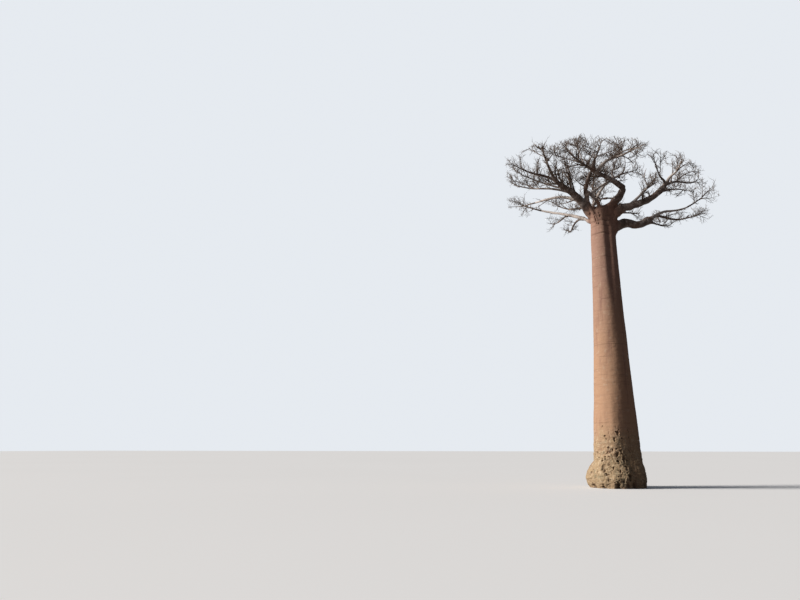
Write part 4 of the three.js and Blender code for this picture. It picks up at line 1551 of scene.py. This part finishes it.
def floor_material():
    material, n, shader, place = new_material("floor")
    shade = tuple(FLOOR_PATCH_SHADE * part for part in FLOOR_COLOUR)
    colour = n.mix(n.noise(place, size=FLOOR_PATCH, detail=2), FLOOR_COLOUR, shade)
    seen = n.add("LightPath").outputs["Is Camera Ray"]
    n.link(n.mix(seen, FLOOR_BOUNCE, colour), shader.inputs["Base Color"])
    shader.inputs["Roughness"].default_value = FLOOR_ROUGHNESS
    return material


def add_floor():
    shape = bmesh.new()
    bmesh.ops.create_grid(shape, x_segments=1, y_segments=1, size=FLOOR_SIZE / 2)
    mesh = bpy.data.meshes.new("floor")
    shape.to_mesh(mesh)
    shape.free()
    finished("floor", mesh, [floor_material()], smooth=False)


def add_camera():
    camera = bpy.data.cameras.new("camera")
    camera.lens = LENS_MM
    camera.sensor_width = SENSOR_MM
    camera.clip_end = FARTHEST_SEEN
    holder = bpy.data.objects.new("camera", camera)
    holder.location = (0, -VIEW_DISTANCE, EYE_HEIGHT)
    holder.rotation_euler = (math.radians(90 + TILT_UP), 0, math.radians(TURN_LEFT))
    scene.collection.objects.link(holder)
    scene.camera = holder


def add_light():
    key = bpy.data.lights.new("key", "SUN")
    key.energy = KEY_STRENGTH
    key.angle = math.radians(KEY_SOFTNESS)
    key.color = KEY_COLOUR
    holder = bpy.data.objects.new("key", key)
    holder.rotation_euler = (math.radians(90 - KEY_ELEVATION), 0, math.radians(KEY_HEADING + 90))
    scene.collection.objects.link(holder)

    world = bpy.data.worlds.new("world")
    world.use_nodes = True
    scene.world = world
    n = Nodes(world.node_tree)
    fill = world.node_tree.nodes["Background"]
    fill.inputs["Color"].default_value = (*FILL_COLOUR, 1)
    fill.inputs["Strength"].default_value = FILL_STRENGTH
    backdrop = n.add("Background")
    backdrop.inputs["Color"].default_value = (*BACKDROP_COLOUR, 1)
    backdrop.inputs["Strength"].default_value = BACKDROP_STRENGTH
    either = n.add("MixShader")
    n.link(n.add("LightPath").outputs["Is Camera Ray"], either.inputs[0])
    n.link(fill.outputs[0], either.inputs[1])
    n.link(backdrop.outputs[0], either.inputs[2])
    n.link(either.outputs[0], world.node_tree.nodes["World Output"].inputs["Surface"])
    scene.view_settings.view_transform = "Standard"


add_camera()
add_light()
add_floor()

grain = grain_group()
bark = bark_material(grain)
twig_barks = [twig_material(name, dark, pale, grain) for name, dark, pale in TWIG_BARKS]

# Trunk
foot = trunk_piece("trunk_foot", 0, FOOT_TOP, *FOOT_MESH, crowding=FOOT_CROWDING)
column = trunk_piece("trunk_column", FOOT_TOP, COLUMN_TOP, *COLUMN_MESH, crowding=1)
for piece in (foot, column):
    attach(piece, "root")
    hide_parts("trunk")

# Boughs: one skin with the top of the trunk, parted into a left, a front, a back and a right piece
skin = crown_skin()
base = ((0, 0, COLUMN_TOP), (0, 0, -1))
middle_part = [((LEFT_CUT, 0, 0), (-1, 0, 0)), ((RIGHT_CUT, 0, 0), (1, 0, 0)), base]
limb_pieces = {
    "limbs_left": [((LEFT_CUT, 0, 0), (1, 0, 0)), base],
    "limbs_front": [*middle_part, ((0, BACK_CUT, 0), (0, 1, 0))],
    "limbs_back": [*middle_part, ((0, BACK_CUT, 0), (0, -1, 0))],
    "limbs_right": [((RIGHT_CUT, 0, 0), (-1, 0, 0)), base],
}


def part_of_crown(bough):
    middle = bough.point(0.5 * bough.end)
    if middle[0] < LEFT_CUT:
        return "limbs_left"
    if middle[0] > RIGHT_CUT:
        return "limbs_right"
    return "limbs_front" if middle[1] < BACK_CUT else "limbs_back"


for name, planes in limb_pieces.items():
    piece = cut_piece(name, skin, planes, [bark])
    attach(piece, "root")
    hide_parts(*[f"bough_{b.name}" for b in BOUGHS if part_of_crown(b) == name])

# Twigs
levels = grown_crown()
for index, group in enumerate(mass_groups(levels)):
    piece = twig_piece(f"bare_twigs_{index + 1}", levels, group, twig_barks)
    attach(piece, "root")
    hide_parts(*[f"twigs_{MASSES[mass].name}" for mass in group])
